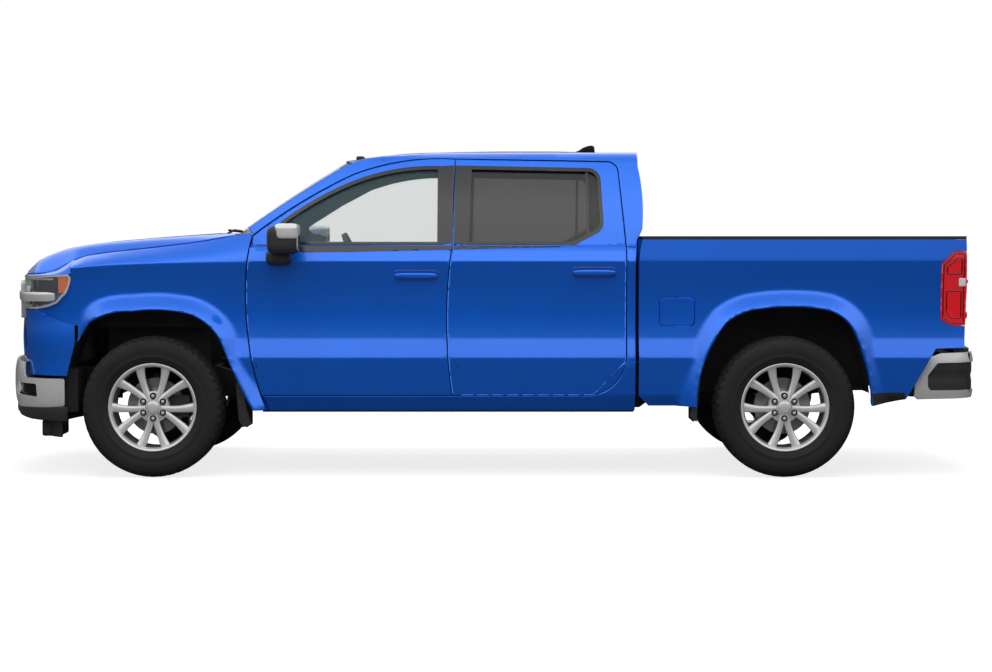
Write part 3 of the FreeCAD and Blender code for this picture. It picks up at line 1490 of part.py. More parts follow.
def tyre(y):
    """Tyre cross section: bead seat, sidewalls, shoulders and tread."""
    half = tyre_width / 2
    bead = barrel_half - fit_gap
    points = [(-bead, rim_radius), (-half, rim_radius + (tyre_radius - rim_radius) * 0.45),
              (-half * 0.83, tyre_radius - sheet / 2), (-half * 0.70, tyre_radius), (half * 0.70, tyre_radius),
              (half * 0.83, tyre_radius - sheet / 2), (half, rim_radius + (tyre_radius - rim_radius) * 0.45),
              (bead, rim_radius)]
    return turned("x", points, V(wheel_plane, y, axle_height), wheel_sides)


def spoke(y, root_angle, tip_angle):
    """One spoke of a pair: from the hub it leans away from its neighbour to the rim."""
    centre = V(wheel_plane, y, axle_height)
    rings = []
    for angle, r, half, depth in ((root_angle, spoke_root_radius, spoke_root_half, spoke_root_depth),
                                  (tip_angle, spoke_tip_radius, spoke_tip_half, spoke_tip_depth)):
        turn = FreeCAD.Rotation(V(1, 0, 0), angle)
        face = half * spoke_face_share
        back = spoke_outer_x - depth
        corners = [V(spoke_outer_x, -face, r), V(spoke_outer_x, face, r), V(back, half, r), V(back, -half, r)]
        rings.append([centre + turn.multVec(point) for point in corners])
    return loft(rings)


def rim(y):
    centre = V(wheel_plane, y, axle_height)
    r = rim_radius - fit_gap
    barrel = turned("x", [(-barrel_half, r), (-barrel_half, r - barrel_wall), (barrel_half, r - barrel_wall),
                          (barrel_half, r)], centre, wheel_sides)
    inner = hub_face + fit_gap - wheel_plane
    face = hub_face + disc_thickness - wheel_plane
    end = spindle_end + fit_gap - wheel_plane
    cap = spoke_outer_x + sheet / 2
    base = spoke_outer_x - sheet / 2
    bore = (spindle_radius + fit_gap) / math.cos(2 * math.pi / wheel_sides)
    hub = turned("x", [(inner, bore), (inner, disc_radius), (face, disc_radius), (face, hub_radius),
                       (base, hub_radius), (base, hub_cap_radius), (cap, hub_cap_radius * hub_dome_share),
                       (cap, 0), (end, 0), (end, bore)], centre, wheel_sides // 2)
    spokes = []
    for i in range(spoke_count // 2):
        middle = spoke_first_angle + i * 360 / (spoke_count / 2)
        for side in (-1, 1):
            spokes.append(spoke(y, middle + side * spoke_root_angle, middle + side * spoke_tip_angle))
    return fused([barrel, hub] + spokes)


def build_wheels():
    for name, y in (("front", front_axle), ("rear", rear_axle)):
        save("tyre_" + name + "_left", tyre(y))
        save("tyre_" + name + "_right", mirrored(written["tyre_" + name + "_left"]))
        save("rim_" + name + "_left", rim(y))
        save("rim_" + name + "_right", mirrored(written["rim_" + name + "_left"]))


# Engine, drive line, exhaust, tank and spare wheel
engine_half = 290.0
engine_length = 640.0
engine_low = 560.0
engine_high = 1120.0
gearbox_half = 140.0
gearbox_length = 800.0
driveshaft_radius = 45.0
driveshaft_height = 488.0


def build_drive_line():
    front = front_axle - 380.0
    block = box(-engine_half, engine_half, front, front + engine_length, engine_low, engine_high)
    gearbox = box(-gearbox_half, gearbox_half, front + engine_length - fit_gap, front + engine_length + gearbox_length,
                  rail_mid_low + cross_size / 2 + fit_gap, cab_floor_height - floor_thickness * 2)
    link = box(-gearbox_half, gearbox_half, front + engine_length - overrun, front + engine_length + overrun * 0.6,
               cab_floor_height - floor_thickness * 2 - overrun, engine_low + overrun)
    foot = box(-rail_inner + fit_gap, rail_inner - fit_gap, front + engine_length * 0.4, front + engine_length * 0.4 + cross_size,
               engine_low, engine_low + cross_size / 2)
    save("engine", fused([block, gearbox, link, foot]))
    start = front + engine_length + gearbox_length
    end = rear_axle - pinion_length
    lean = driveshaft_radius * (driveshaft_height - axle_height) / (end - start)
    start += fit_gap + lean
    end -= fit_gap + lean
    save("driveshaft", rod(V(0, start, driveshaft_height), V(0, end, axle_height), driveshaft_radius))


tank_length = 1120.0
tank_width = 230.0
pipe_radius = 32.0
muffler_length = 620.0
muffler_radius = 84.0
spare_y_offset = 560.0
spare_y = rear_axle + spare_y_offset


def build_underside():
    y = door_front + 500.0
    save("fuel_tank", box(-rail_inner + fit_gap, -rail_inner + tank_width, y, y + tank_length, rail_mid_low,
                          rail_mid_low + rail_mid_height - fit_gap))
    x = rail_inner - muffler_radius - fit_gap
    z = rail_mid_low + muffler_radius
    start = front_axle + 380.0
    pipe = rod(V(x, start, z), V(x, y + tank_length, z), pipe_radius)
    muffler = rod(V(x, y + overrun, z), V(x, y + overrun + muffler_length, z), muffler_radius)
    save("exhaust", fused([pipe, muffler]))


# Cabin: dashboard, steering wheel, seats
dash_front = door_front + firewall_setback + firewall_thickness
dash_depth = 430.0
dash_low = 1010.0
dash_high = 1386.0
column_half = 400.0
wheel_ring_radius = 186.0
wheel_ring_thickness = 15.0
column_tilt = 24.0
column_radius = 18.0
column_length = 320.0
seat_gap = fit_gap
cushion_height = 170.0
cushion_low = 760.0
cushion_length = 540.0
cushion_width = 530.0
seat_half = 400.0
back_thickness = 150.0
back_height = 690.0
back_lean = 90.0
headrest_height = 190.0
headrest_width = 270.0
seat_rail_height = cushion_low - cab_floor_height


def column_point(distance):
    """Point on the steering column's axis, measured from the wheel's plane towards the dash."""
    tilt = math.radians(column_tilt)
    y = dash_front + dash_depth + 120.0 - distance * math.cos(tilt)
    z = dash_high - 120.0 - distance * math.sin(tilt)
    return V(column_half, y, z)


def build_cabin():
    half = shoulder_half - ring_depth - seal_gap
    points = [(dash_front + fit_gap, dash_low), (dash_front + dash_depth * 0.75, dash_low - sheet * 2, sheet),
              (dash_front + dash_depth, dash_low + (dash_high - dash_low) / 2, sheet),
              (dash_front + dash_depth * 0.8, dash_high, sheet), (dash_front + fit_gap, dash_high - sheet)]
    dash = prism("x", points, -half, half)
    ring_centre = column_point(0)
    axis = column_point(0) - column_point(column_length)
    axis.normalize()
    outer = wheel_ring_radius + wheel_ring_thickness
    inner = wheel_ring_radius - wheel_ring_thickness
    half = wheel_ring_thickness
    ring = turned("z", [(-half, inner), (-half, outer), (half, outer), (half, inner)], V(0, 0, 0),
                  wheel_sides)
    ring.rotate(V(0, 0, 0), V(1, 0, 0), column_tilt - 90)
    ring = ring.translated(ring_centre)
    shaft = cylinder(column_point(column_length), axis, column_radius, column_length + wheel_ring_thickness)
    hub = rod(column_point(wheel_ring_thickness * 2), column_point(-wheel_ring_thickness), column_radius * 3)
    spokes = []
    for turn in (0, 90, 180):
        bar = box(0, wheel_ring_radius, -wheel_ring_thickness, wheel_ring_thickness, -wheel_ring_thickness / 2,
                  wheel_ring_thickness / 2)
        bar.rotate(V(0, 0, 0), V(0, 0, 1), -turn)
        bar.rotate(V(0, 0, 0), V(1, 0, 0), column_tilt - 90)
        spokes.append(bar.translated(ring_centre))
    bore = cylinder(column_point(column_length + overrun), axis, column_radius + fit_gap,
                    column_length + 2 * overrun)
    save("dashboard", dash.cut([bore, written["cab_side_frames"]]))
    save("steering_wheel", fused([ring, shaft, hub] + spokes))
    build_seats()


def cushion(x, y, width):
    return box(x - width / 2, x + width / 2, y, y + cushion_length, cushion_low, cushion_low + cushion_height)


def seat_back(x, y, width):
    low = cushion_low
    r = back_thickness / 3
    return prism("x", [(y, low), (y + back_thickness, low, r), (y + back_thickness + back_lean, low + back_height, r),
                       (y + back_lean + back_thickness * 0.3, low + back_height, r)], x - width / 2, x + width / 2)


front_seat_y_offset = 640.0
front_seat_y = pillar_line - front_seat_y_offset
rear_seat_y_offset = 830.0
rear_seat_y = cab_rear - rear_seat_y_offset


def build_seats():
    front_cushions = []
    front_backs = []
    for side in (-1, 1):
        x = side * seat_half
        front_cushions.append(cushion(x, front_seat_y, cushion_width))
        y = front_seat_y + cushion_length + seat_gap
        back = seat_back(x, y, cushion_width)
        top = cushion_low + back_height
        head = box(x - headrest_width / 2, x + headrest_width / 2, y + back_lean + back_thickness * 0.45,
                   y + back_lean + back_thickness, top - fit_gap, top + headrest_height)
        front_backs.append(back.fuse(head))
    width = 2 * (shoulder_half - ring_depth - sheet * 3)
    save("seat_cushions", front_cushions + [cushion(0, rear_seat_y, width)])
    save("seat_backs", front_backs + [seat_back(0, rear_seat_y + cushion_length + seat_gap, width)])
    bases = []
    for side in (-1, 1):
        bases.append(box(side * seat_half - cushion_width / 2.5, side * seat_half + cushion_width / 2.5,
                         front_seat_y + sheet, front_seat_y + cushion_length - sheet, cab_floor_height + tunnel_height / 5,
                         cushion_low - fit_gap))
        bases.append(box(side * seat_half - cushion_width / 2.5, side * seat_half + cushion_width / 2.5,
                         rear_seat_y + sheet, rear_seat_y + cushion_length - sheet, cab_floor_height,
                         cushion_low - fit_gap))
    bases[0] = bases[0].fuse(box(-seat_half - cushion_width / 2.5, -seat_half, front_seat_y + sheet,
                                 front_seat_y + cushion_length - sheet, cab_floor_height, cab_floor_height + tunnel_height))
    bases[2] = bases[2].fuse(box(seat_half, seat_half + cushion_width / 2.5, front_seat_y + sheet,
                                 front_seat_y + cushion_length - sheet, cab_floor_height, cab_floor_height + tunnel_height))
    save("seat_bases", bases)


# Small outside pieces: mirrors, aerial fin, mud flaps
mirror_half = 1235.0
mirror_width = 190.0
mirror_front_offset = 130.0
mirror_front = door_front + mirror_front_offset
mirror_depth = 200.0
mirror_low = 1326.0
mirror_high = 1508.0
mirror_radius = 45.0
mirror_foot = 40.0
flap_thickness = 10.0
flap_length = 250.0
flap_width = 300.0


def build_small_pieces():
    inner = mirror_half - mirror_width
    r = mirror_radius
    head = prism("x", [(mirror_front, mirror_low, r), (mirror_front + mirror_depth, mirror_low, r),
                       (mirror_front + mirror_depth, mirror_high, r), (mirror_front + r, mirror_high, r)],
                 inner, mirror_half)
    arm = box(belt_half - belt_ledge - greenhouse_taper / 2, inner + fit_gap, mirror_front + mirror_depth * 0.4,
              mirror_front + mirror_depth * 0.4 + mirror_foot * 1.5, belt_height + fit_gap, belt_height + mirror_foot)
    glass = head.fuse(arm)
    save("mirror_left", glass)
    save("mirror_right", mirrored(glass))
    flaps = []
    for y, low in ((front_axle + arch_reach * 1.1, 300.0), (rear_axle - arch_reach * 1.09, 333.0)):
        flaps.append(box(waist_half - flap_width, waist_half, y, y + flap_thickness, low, low + flap_length))
    near = [written[name] for name in ("bed_sides", "front_fenders", "wheel_liners", "load_bed")]
    flaps = [max(flap.cut(near).Solids, key=lambda solid: solid.Volume) for flap in flaps]
    save("mud_flaps", flaps + [mirrored(flap) for flap in flaps])


def build_all():
    os.makedirs("parts", exist_ok=True)
    build_doors()
    build_roof()
    build_cab_sides()
    build_cab_ends()
    build_cab_floor()
    build_hood()
    build_fenders()
    build_nose()
    build_front_structure()
    build_cowl()
    build_bed_sides()
    build_load_bed()
    build_rail_caps()
    build_tailgate()
    build_rear_bumper()
    build_frame()
    build_rear_axle()
    build_rear_springs()
    build_dampers()
    build_front_suspension()
    build_knuckle()
    build_steering()
    build_wheels()
    build_drive_line()
    build_underside()
    build_cabin()
    build_small_pieces()


build_all()
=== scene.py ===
import json
import math

import bpy
from mathutils import Matrix, Vector
from mathutils.geometry import delaunay_2d_cdt


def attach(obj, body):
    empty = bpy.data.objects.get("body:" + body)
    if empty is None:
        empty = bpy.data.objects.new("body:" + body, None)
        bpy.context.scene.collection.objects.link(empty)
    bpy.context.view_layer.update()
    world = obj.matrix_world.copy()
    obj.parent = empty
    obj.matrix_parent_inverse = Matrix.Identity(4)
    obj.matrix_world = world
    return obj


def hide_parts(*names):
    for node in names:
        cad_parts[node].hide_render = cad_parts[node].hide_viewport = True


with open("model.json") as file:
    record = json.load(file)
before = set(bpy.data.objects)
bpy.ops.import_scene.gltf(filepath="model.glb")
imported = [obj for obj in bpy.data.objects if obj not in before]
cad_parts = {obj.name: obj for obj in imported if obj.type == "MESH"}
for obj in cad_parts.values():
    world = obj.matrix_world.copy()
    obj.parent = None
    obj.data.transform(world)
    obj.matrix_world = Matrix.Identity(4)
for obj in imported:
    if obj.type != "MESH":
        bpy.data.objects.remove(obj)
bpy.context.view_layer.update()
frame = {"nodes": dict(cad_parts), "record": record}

MM = 0.001

# The part's named sizes, in millimetres, as its source has them
length = 5886.0
front_axle = -1974.0
rear_axle = 1771.0
axle_height = 419.0
tyre_radius = 419.0
wheel_plane = 868.5
belt = 1372.0
roof_height = 1962.0
sill = 490.0
rocker = 395.0
door_front = -1418.0
pillar = -233.0
cab_rear = 885.0
bed_front = 905.0
bed_rear = 2836.0
rail_height = 1412.0
gap = 6.0
front_door_length = 1185.0
rear_door_length = 1061.0
arch_half = 1031.0

# Body side: heights of its creases, and the half widths there
crease, shelf, waist, hollow_top, shoulder_level = 712.0, 828.0, 1000.0, 1180.0, 1285.0
rocker_half, sill_half, crease_half, shelf_half, waist_half, hollow_half, shoulder_half, belt_half = (
    905.0, 968.0, 996.0, 971.0, 966.0, 980.0, 996.0, 962.0)
rail_half = 986.0

# Name and direction of X of the two sides
both = (("left", 1), ("right", -1))
# Where a soft value is sampled, as shares of its reach
spread_shares = (-1.0, -0.6, -0.2, 0.2, 0.6, 1.0)


# ---------------------------------------------------------------- small maths
def clamp(t, low=0.0, high=1.0):
    return max(low, min(high, t))


def smooth(t):
    t = clamp(t)
    return t * t * (3 - 2 * t)


def table(x, xs, ys):
    """Straight lines through listed points, flat beyond both ends."""
    if x <= xs[0]:
        return ys[0]
    for i in range(len(xs) - 1):
        if x <= xs[i + 1]:
            t = (x - xs[i]) / (xs[i + 1] - xs[i])
            return ys[i] + (ys[i + 1] - ys[i]) * t
    return ys[-1]


def averaged(value, x, reach):
    """Mean of a function over a distance to both sides of x, which rounds its corners."""
    return sum(value(x + share * reach) for share in spread_shares) / len(spread_shares)


def soft_table(x, xs, ys, reach):
    """A table with its corners rounded over a distance."""
    return averaged(lambda at: table(at, xs, ys), x, reach)


def parabola(x, points):
    """Value at x of the curve through three points."""
    (a, fa), (b, fb), (c, fc) = points
    return (fa * (x - b) * (x - c) / ((a - b) * (a - c)) + fb * (x - a) * (x - c) / ((b - a) * (b - c))
            + fc * (x - a) * (x - b) / ((c - a) * (c - b)))


def arc_points(a, m, b, steps):
    """Points on the circle through three flat points, both ends with them."""
    ax, ay, mx, my, bx, by = *a, *m, *b
    d = 2 * (ax * (my - by) + mx * (by - ay) + bx * (ay - my))
    if abs(d) < 1e-6:
        return [(ax + (bx - ax) * i / steps, ay + (by - ay) * i / steps) for i in range(steps + 1)]
    sa, sm, sb = ax * ax + ay * ay, mx * mx + my * my, bx * bx + by * by
    cx = (sa * (my - by) + sm * (by - ay) + sb * (ay - my)) / d
    cy = (sa * (bx - mx) + sm * (ax - bx) + sb * (mx - ax)) / d
    r = math.hypot(ax - cx, ay - cy)
    t0 = math.atan2(ay - cy, ax - cx)
    tm = (math.atan2(my - cy, mx - cx) - t0) % (2 * math.pi)
    t1 = (math.atan2(by - cy, bx - cx) - t0) % (2 * math.pi)
    if tm > t1:
        t1 -= 2 * math.pi
    return [(cx + r * math.cos(t0 + t1 * i / steps), cy + r * math.sin(t0 + t1 * i / steps))
            for i in range(steps + 1)]


def corner(before, point, after, radius, steps=6):
    """Arc that rounds a corner of a flat outline."""
    a = Vector((before[0] - point[0], before[1] - point[1])).normalized()
    b = Vector((after[0] - point[0], after[1] - point[1])).normalized()
    half = math.acos(clamp(a.dot(b), -1, 1)) / 2
    reach = radius / math.tan(half)
    mid = (a + b).normalized() * (radius / math.sin(half) - radius)
    c = Vector(point[:2])
    return arc_points(tuple(c + a * reach), tuple(c + mid), tuple(c + b * reach), steps)


def outline(points, steps=14):
    """Ring of flat points. A point is (u, v), (u, v, radius) or ("via", u, v)."""
    n = len(points)
    flat = []
    for i, p in enumerate(points):
        if p[0] == "via":
            flat.append(None)
        elif len(p) == 3:
            sides = [q[1:] if q[0] == "via" else q for q in (points[i - 1], points[(i + 1) % n])]
            flat.append(corner(sides[0], p, sides[1], p[2]))
        else:
            flat.append([tuple(p)])
    ring = []
    for i, p in enumerate(points):
        if p[0] == "via":
            ring += arc_points(flat[i - 1][-1], p[1:], flat[(i + 1) % n][0], steps)[1:-1]
        else:
            ring += flat[i]
    return ring


def area(ring):
    """Area inside a ring, negative when it runs clockwise."""
    return sum(a[0] * b[1] - b[0] * a[1] for a, b in zip(ring, ring[1:] + ring[:1])) / 2


def grow(ring, by):
    """The ring moved outwards, or inwards by a negative distance."""
    sign = 1 if area(ring) > 0 else -1
    n = len(ring)
    out = []
    for i, p in enumerate(ring):
        a, b = Vector(p) - Vector(ring[i - 1]), Vector(ring[(i + 1) % n]) - Vector(p)
        if a.length < 1e-6 or b.length < 1e-6:
            continue
        na = Vector((a.y, -a.x)).normalized() * sign
        nb = Vector((b.y, -b.x)).normalized() * sign
        m = na + nb
        if m.length < 0.2:
            m = na
        m.normalize()
        out.append(tuple(Vector(p) + m * (by / max(0.5, m.dot(na)))))
    return out


def inside(p, ring):
    """Whether a point lies within a ring."""
    x, y = p
    hit = False
    for (ax, ay), (bx, by) in zip(ring, ring[1:] + ring[:1]):
        if (ay > y) != (by > y) and x < (bx - ax) * (y - ay) / (by - ay) + ax:
            hit = not hit
    return hit


def near(p, ring):
    """Distance from a point to a ring."""
    best = 1e9
    px, py = p
    for (ax, ay), (bx, by) in zip(ring, ring[1:] + ring[:1]):
        dx, dy = bx - ax, by - ay
        t = clamp(((px - ax) * dx + (py - ay) * dy) / max(1e-9, dx * dx + dy * dy))
        best = min(best, math.hypot(px - ax - t * dx, py - ay - t * dy))
    return best


def divided(ring, step):
    """The ring with its long sides cut into steps."""
    out = []
    for a, b in zip(ring, ring[1:] + ring[:1]):
        parts = max(1, int(math.dist(a, b) / step))
        out += [(a[0] + (b[0] - a[0]) * i / parts, a[1] + (b[1] - a[1]) * i / parts) for i in range(parts)]
    return out


# ---------------------------------------------------------------- meshes and objects
def make(name, verts, faces, mats, body, smooth_angle=None, indices=None):
    """Piece of points in millimetres, riding on a body."""
    mesh = bpy.data.meshes.new(name)
    mesh.from_pydata([Vector(v) * MM for v in verts], [], faces)
    mesh.validate()
    for m in mats if isinstance(mats, list) else [mats]:
        mesh.materials.append(m)
    if indices:
        mesh.polygons.foreach_set("material_index", indices[:len(mesh.polygons)])
    mesh.polygons.foreach_set("use_smooth", [True] * len(mesh.polygons))
    if smooth_angle is not None:
        mesh.set_sharp_from_angle(angle=math.radians(smooth_angle))
    obj = bpy.data.objects.new(name, mesh)
    bpy.context.scene.collection.objects.link(obj)
    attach(obj, body)
    return obj


def tag(piece, slot, node=None):
    """Hides the carried-over solid that a piece stands for; the piece and its slot are not used."""
    if node:
        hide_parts(node)


def solidify(obj, thickness, inner=0):
    """Thickness towards the inside; inner is the place of the inner side's material."""
    modifier = obj.modifiers.new("thick", "SOLIDIFY")
    modifier.thickness = thickness * MM
    modifier.offset = -1.0
    modifier.use_even_offset = False
    modifier.material_offset = inner


def bevel(obj, width, segments=2, angle=50):
    """Rounds the sharp edges, and smooths the shading of the flat faces between them."""
    rounding = obj.modifiers.new("edge", "BEVEL")
    rounding.width = width * MM
    rounding.segments = segments
    rounding.limit_method = "ANGLE"
    rounding.angle_limit = math.radians(angle)
    rounding.harden_normals = False
    normals = obj.modifiers.new("normals", "WEIGHTED_NORMAL")
    normals.keep_sharp = False
    normals.weight = 60


def panel(name, ring, holes, step, surface, mats, body, thickness, inner=0, edge=2.0, flip=False, creases=(),
          reach=7.0):
    """A sheet cut from a surface given over flat points, with its thickness and soft edges."""
    loops = [divided(ring, step)] + [divided(h, step) for h in holes]
    points, edges = [], []
    for loop in loops:
        start = len(points)
        points += loop
        edges += [(start + i, start + (i + 1) % len(loop)) for i in range(len(loop))]
    us = [p[0] for p in ring]
    vs = [p[1] for p in ring]

    def good(p, clear):
        if not inside(p, ring) or any(inside(p, h) for h in holes):
            return False
        return min(near(p, loop) for loop in [ring] + list(holes)) > clear

    band = 7.0
    for loop, way in [(loops[0], -band)] + [(h, band) for h in loops[1:]]:
        before = None
        for p in grow(loop, way):
            if good(p, band * 0.8):
                points.append(p)
                if before is not None:
                    edges.append((before, len(points) - 1))
                before = len(points) - 1
            else:
                before = None
    cols = int((max(us) - min(us)) / step) + 1
    for line in creases:
        for shift in (-reach, 0.0, reach):
            before = None
            for c in range(cols + 1):
                u = min(us) + c * step
                p = (u, line(u) + shift)
                if good(p, band + 3):
                    points.append(p)
                    if before is not None:
                        edges.append((before, len(points) - 1))
                    before = len(points) - 1
                else:
                    before = None
    rows = int((max(vs) - min(vs)) / step) + 2
    for r in range(rows):
        v = min(vs) + (r + 0.5) * step
        for c in range(cols + 1):
            p = (min(us) + (c + 0.5 * (r % 2)) * step, v)
            if any(abs(v - line(p[0])) < reach + step * 0.5 for line in creases):
                continue
            if good(p, band + step * 0.4):
                points.append(p)
    flat, _, faces, _, _, _ = delaunay_2d_cdt([Vector(p) for p in points], edges, [], 0, 1e-4)
    kept = []
    for face in faces:
        middle = tuple(sum((flat[i] for i in face), Vector((0, 0))) / len(face))
        if inside(middle, ring) and not any(inside(middle, h) for h in holes):
            kept.append(tuple(face) if not flip else tuple(reversed(face)))
    # Points that no face uses are left out
    used = sorted({i for face in kept for i in face})
    place = {old: new for new, old in enumerate(used)}
    kept = [tuple(place[i] for i in face) for face in kept]
    obj = make(name, [surface(*flat[i]) for i in used], kept, mats, body)
    if thickness:
        solidify(obj, thickness, inner)
    if edge:
        bevel(obj, edge)
    return obj


def side_panel(name, s, ring, holes, step, skin, mats, body, thickness, **keys):
    """Panel of the body side, over (y, z), with its outer face on the skin."""
    return panel(name, ring, holes, step, lambda y, z: (s * skin(y, z), y, z), mats, body, thickness,
                 flip=s < 0, **keys)


def block(name, x0, x1, y0, y1, z0, z1, mats, body, edge=4.0, segments=3):
    """Box with rounded edges."""
    verts = [(x, y, z) for x in sorted((x0, x1)) for y in (y0, y1) for z in (z0, z1)]
    faces = [(0, 1, 3, 2), (4, 6, 7, 5), (0, 4, 5, 1), (2, 3, 7, 6), (0, 2, 6, 4), (1, 5, 7, 3)]
    obj = make(name, verts, faces, mats, body)
    bevel(obj, edge, segments, 30)
    return obj


def joined(parts):
    """Several (verts, faces) lists as one."""
    verts, faces = [], []
    for more_verts, more_faces in parts:
        start = len(verts)
        verts += more_verts
        faces += [tuple(i + start for i in face) for face in more_faces]
    return verts, faces


def merged(name, parts, mats, body, edge=0.0, segments=2):
    """One piece from several (verts, faces) lists."""
    obj = make(name, *joined(parts), mats, body)
    if edge:
        bevel(obj, edge, segments, 30)
    return obj


def grid_faces(rows, cols):
    """Faces of a grid whose points are listed row by row."""
    starts = [r * (cols + 1) + c for r in range(rows) for c in range(cols)]
    return [(a, a + 1, a + cols + 2, a + cols + 1) for a in starts]


def prism_x(ring, x0, x1):
    """Closed solid with a (y, z) outline between two values of x."""
    n = len(ring)
    if area(ring) < 0:
        ring = ring[::-1]
    v = [(x0, y, z) for y, z in ring] + [(x1, y, z) for y, z in ring]
    f = [tuple(range(n))[::-1], tuple(range(n, 2 * n))]
    f += [(i, (i + 1) % n, n + (i + 1) % n, n + i) for i in range(n)]
    if x1 < x0:
        f = [tuple(reversed(face)) for face in f]
    return v, f


def tube(points, radius, sides=12, closed=False):
    """Round bar through points."""
    pts = [Vector(p) for p in points]
    n = len(pts)
    verts, faces = [], []
    up = Vector((0.13, 0.31, 1)).normalized()
    for i, p in enumerate(pts):
        a = pts[(i - 1) % n] if closed or i else p
        b = pts[(i + 1) % n] if closed or i < n - 1 else p
        d = (b - a).normalized()
        u = d.cross(up).normalized()
        w = u.cross(d)
        for k in range(sides):
            t = 2 * math.pi * k / sides
            verts.append(tuple(p + u * (radius * math.cos(t)) + w * (radius * math.sin(t))))
    for i in range(n if closed else n - 1):
        for k in range(sides):
            a, b = i * sides, ((i + 1) % n) * sides
            faces.append((a + k, b + k, b + (k + 1) % sides, a + (k + 1) % sides))
    if not closed:
        faces += [tuple(range(sides)), tuple(range(n * sides - sides, n * sides))[::-1]]
    return verts, faces


def turned(profile, centre, axis, sides, closed=True):
    """Surface of revolution from (distance along the axis, radius)."""
    centre, axis = Vector(centre), Vector(axis).normalized()
    u = axis.orthogonal().normalized()
    w = axis.cross(u)
    verts, faces = [], []
    n = len(profile)
    for k in range(sides):
        t = 2 * math.pi * k / sides
        d = u * math.cos(t) + w * math.sin(t)
        verts += [tuple(centre + axis * a + d * r) for a, r in profile]
    for k in range(sides):
        a, b = k * n, ((k + 1) % sides) * n
        for i in range(n if closed else n - 1):
            j = (i + 1) % n
            faces.append((a + i, b + i, b + j, a + j))
    return verts, faces


# A sewn channel's depth and half width
seam_depth = 7.0
seam_width = 9.0


def pad_mesh(centre, half, power=5.0, n=22, pull=0.03, seams=(), tilt=0.0, crown=0.0):
    """Closed rounded cushion: sides pulled in between corners, channels sewn across it."""
    verts, faces, index = [], [], {}

    def vertex(i, j, k):
        key = (i, j, k)
        if key not in index:
            p = [2 * q / n - 1 for q in key]
            m = (abs(p[0]) ** power + abs(p[1]) ** power + abs(p[2]) ** power) ** (1 / power)
            x, y, z = [q / m for q in p]
            x *= 1 - pull * (1 - y * y)
            y *= 1 - pull * (1 - x * x)
            up = z * half[2]
            if z > 0:
                up += crown * (1 - x * x) * (1 - y * y)
                for axis, at in seams:
                    d = ((x if axis == 0 else y) - at) * half[axis]
                    up -= seam_depth * math.exp(-(d / seam_width) ** 2)
            q = Vector((x * half[0], y * half[1], up))
            if tilt:
                q = Matrix.Rotation(math.radians(tilt), 3, "X") @ q
            index[key] = len(verts)
            verts.append(tuple(Vector(centre) + q))
        return index[key]

    for a in range(n):
        for b in range(n):
            for side in (0, n):
                for quad in ([(side, a, b), (side, a + 1, b), (side, a + 1, b + 1), (side, a, b + 1)],
                             [(b, side, a), (b, side, a + 1), (b + 1, side, a + 1), (b + 1, side, a)],
                             [(a, b, side), (a + 1, b, side), (a + 1, b + 1, side), (a, b + 1, side)]):
                    f = tuple(vertex(*q) for q in quad)
                    faces.append(f if side else tuple(reversed(f)))
    return verts, faces


class Curve:
    """Line in plan that a panel follows, measured along itself from the middle."""

    def __init__(self, half_line):
        self.points = [Vector(p) for p in half_line]
        self.at = [0.0]
        for a, b in zip(self.points, self.points[1:]):
            self.at.append(self.at[-1] + (b - a).length)
        self.length = self.at[-1]

    def place(self, s, out):
        """Point at a distance along the line, moved outwards; negative distances are on the right."""
        side = -1 if s < 0 else 1
        a = min(abs(s), self.length - 1e-6)
        i = max(k for k in range(len(self.at) - 1) if self.at[k] <= a)
        t = (a - self.at[i]) / (self.at[i + 1] - self.at[i])
        p = self.points[i].lerp(self.points[i + 1], t)
        before = self.points[max(0, i - 1)]
        after = self.points[min(len(self.points) - 1, i + 2)]
        d = (after - before).normalized()
        if i == 0 and t < 0.5:
            d = Vector((1, 0))
        n = Vector((d.y, -d.x)) if self.points[-1].y > self.points[0].y else Vector((-d.y, d.x))
        return side * (p.x + n.x * out), p.y + n.y * out

    def where(self, axis, value):
        """Distance along the line at which one coordinate passes a value."""
        for i in range(len(self.points) - 1):
            a, b = self.points[i][axis], self.points[i + 1][axis]
            if a != b and min(a, b) <= value <= max(a, b):
                return self.at[i] + (self.at[i + 1] - self.at[i]) * (value - a) / (b - a)
        return self.length

    def by_x(self, x):
        """Distance along the line at a place across the truck."""
        return self.where(0, x)

    def by_y(self, y):
        """Distance along the line at a place along the truck."""
        return self.where(1, y)


def wrapped(name, line, ring, holes, step, out, mats, thickness, edge=3.0, inner=0, roll=None):
    """Panel of the truck's nose or tail over (distance along a plan line, z)."""
    def surface(s, z):
        extra = roll(s, z) if roll else 0.0
        return (*line.place(s, out + extra), z)
    flip = line.points[-1].y < line.points[0].y
    return panel(name, ring, holes, step, surface, mats, "truck", thickness, inner, edge, flip)


def mirrored_ring(right):
    """Ring symmetrical about the middle, from its right half going upwards."""
    right = [q for q in right if q[0] > 0.001]
    return right + [(-q[0], *q[1:]) for q in reversed(right)]


# ---------------------------------------------------------------- materials
def noise(tree, where, scale, detail=2.0):
    """Noise over given coordinates."""
    node = tree.nodes.new("ShaderNodeTexNoise")
    node.inputs["Scale"].default_value = scale
    node.inputs["Detail"].default_value = detail
    tree.links.new(where.outputs["Object"], node.inputs["Vector"])
    return node


def two_tones(tree, source, colour, vary, target):
    """Colour that moves by a share to both sides with a noise."""
    ramp = tree.nodes.new("ShaderNodeValToRGB")
    ramp.color_ramp.elements[0].color = (*[c * (1 - vary) for c in colour], 1)
    ramp.color_ramp.elements[1].color = (*[min(1, c * (1 + vary)) for c in colour], 1)
    tree.links.new(source.outputs["Fac"], ramp.inputs["Fac"])
    tree.links.new(ramp.outputs["Color"], target)
    return ramp


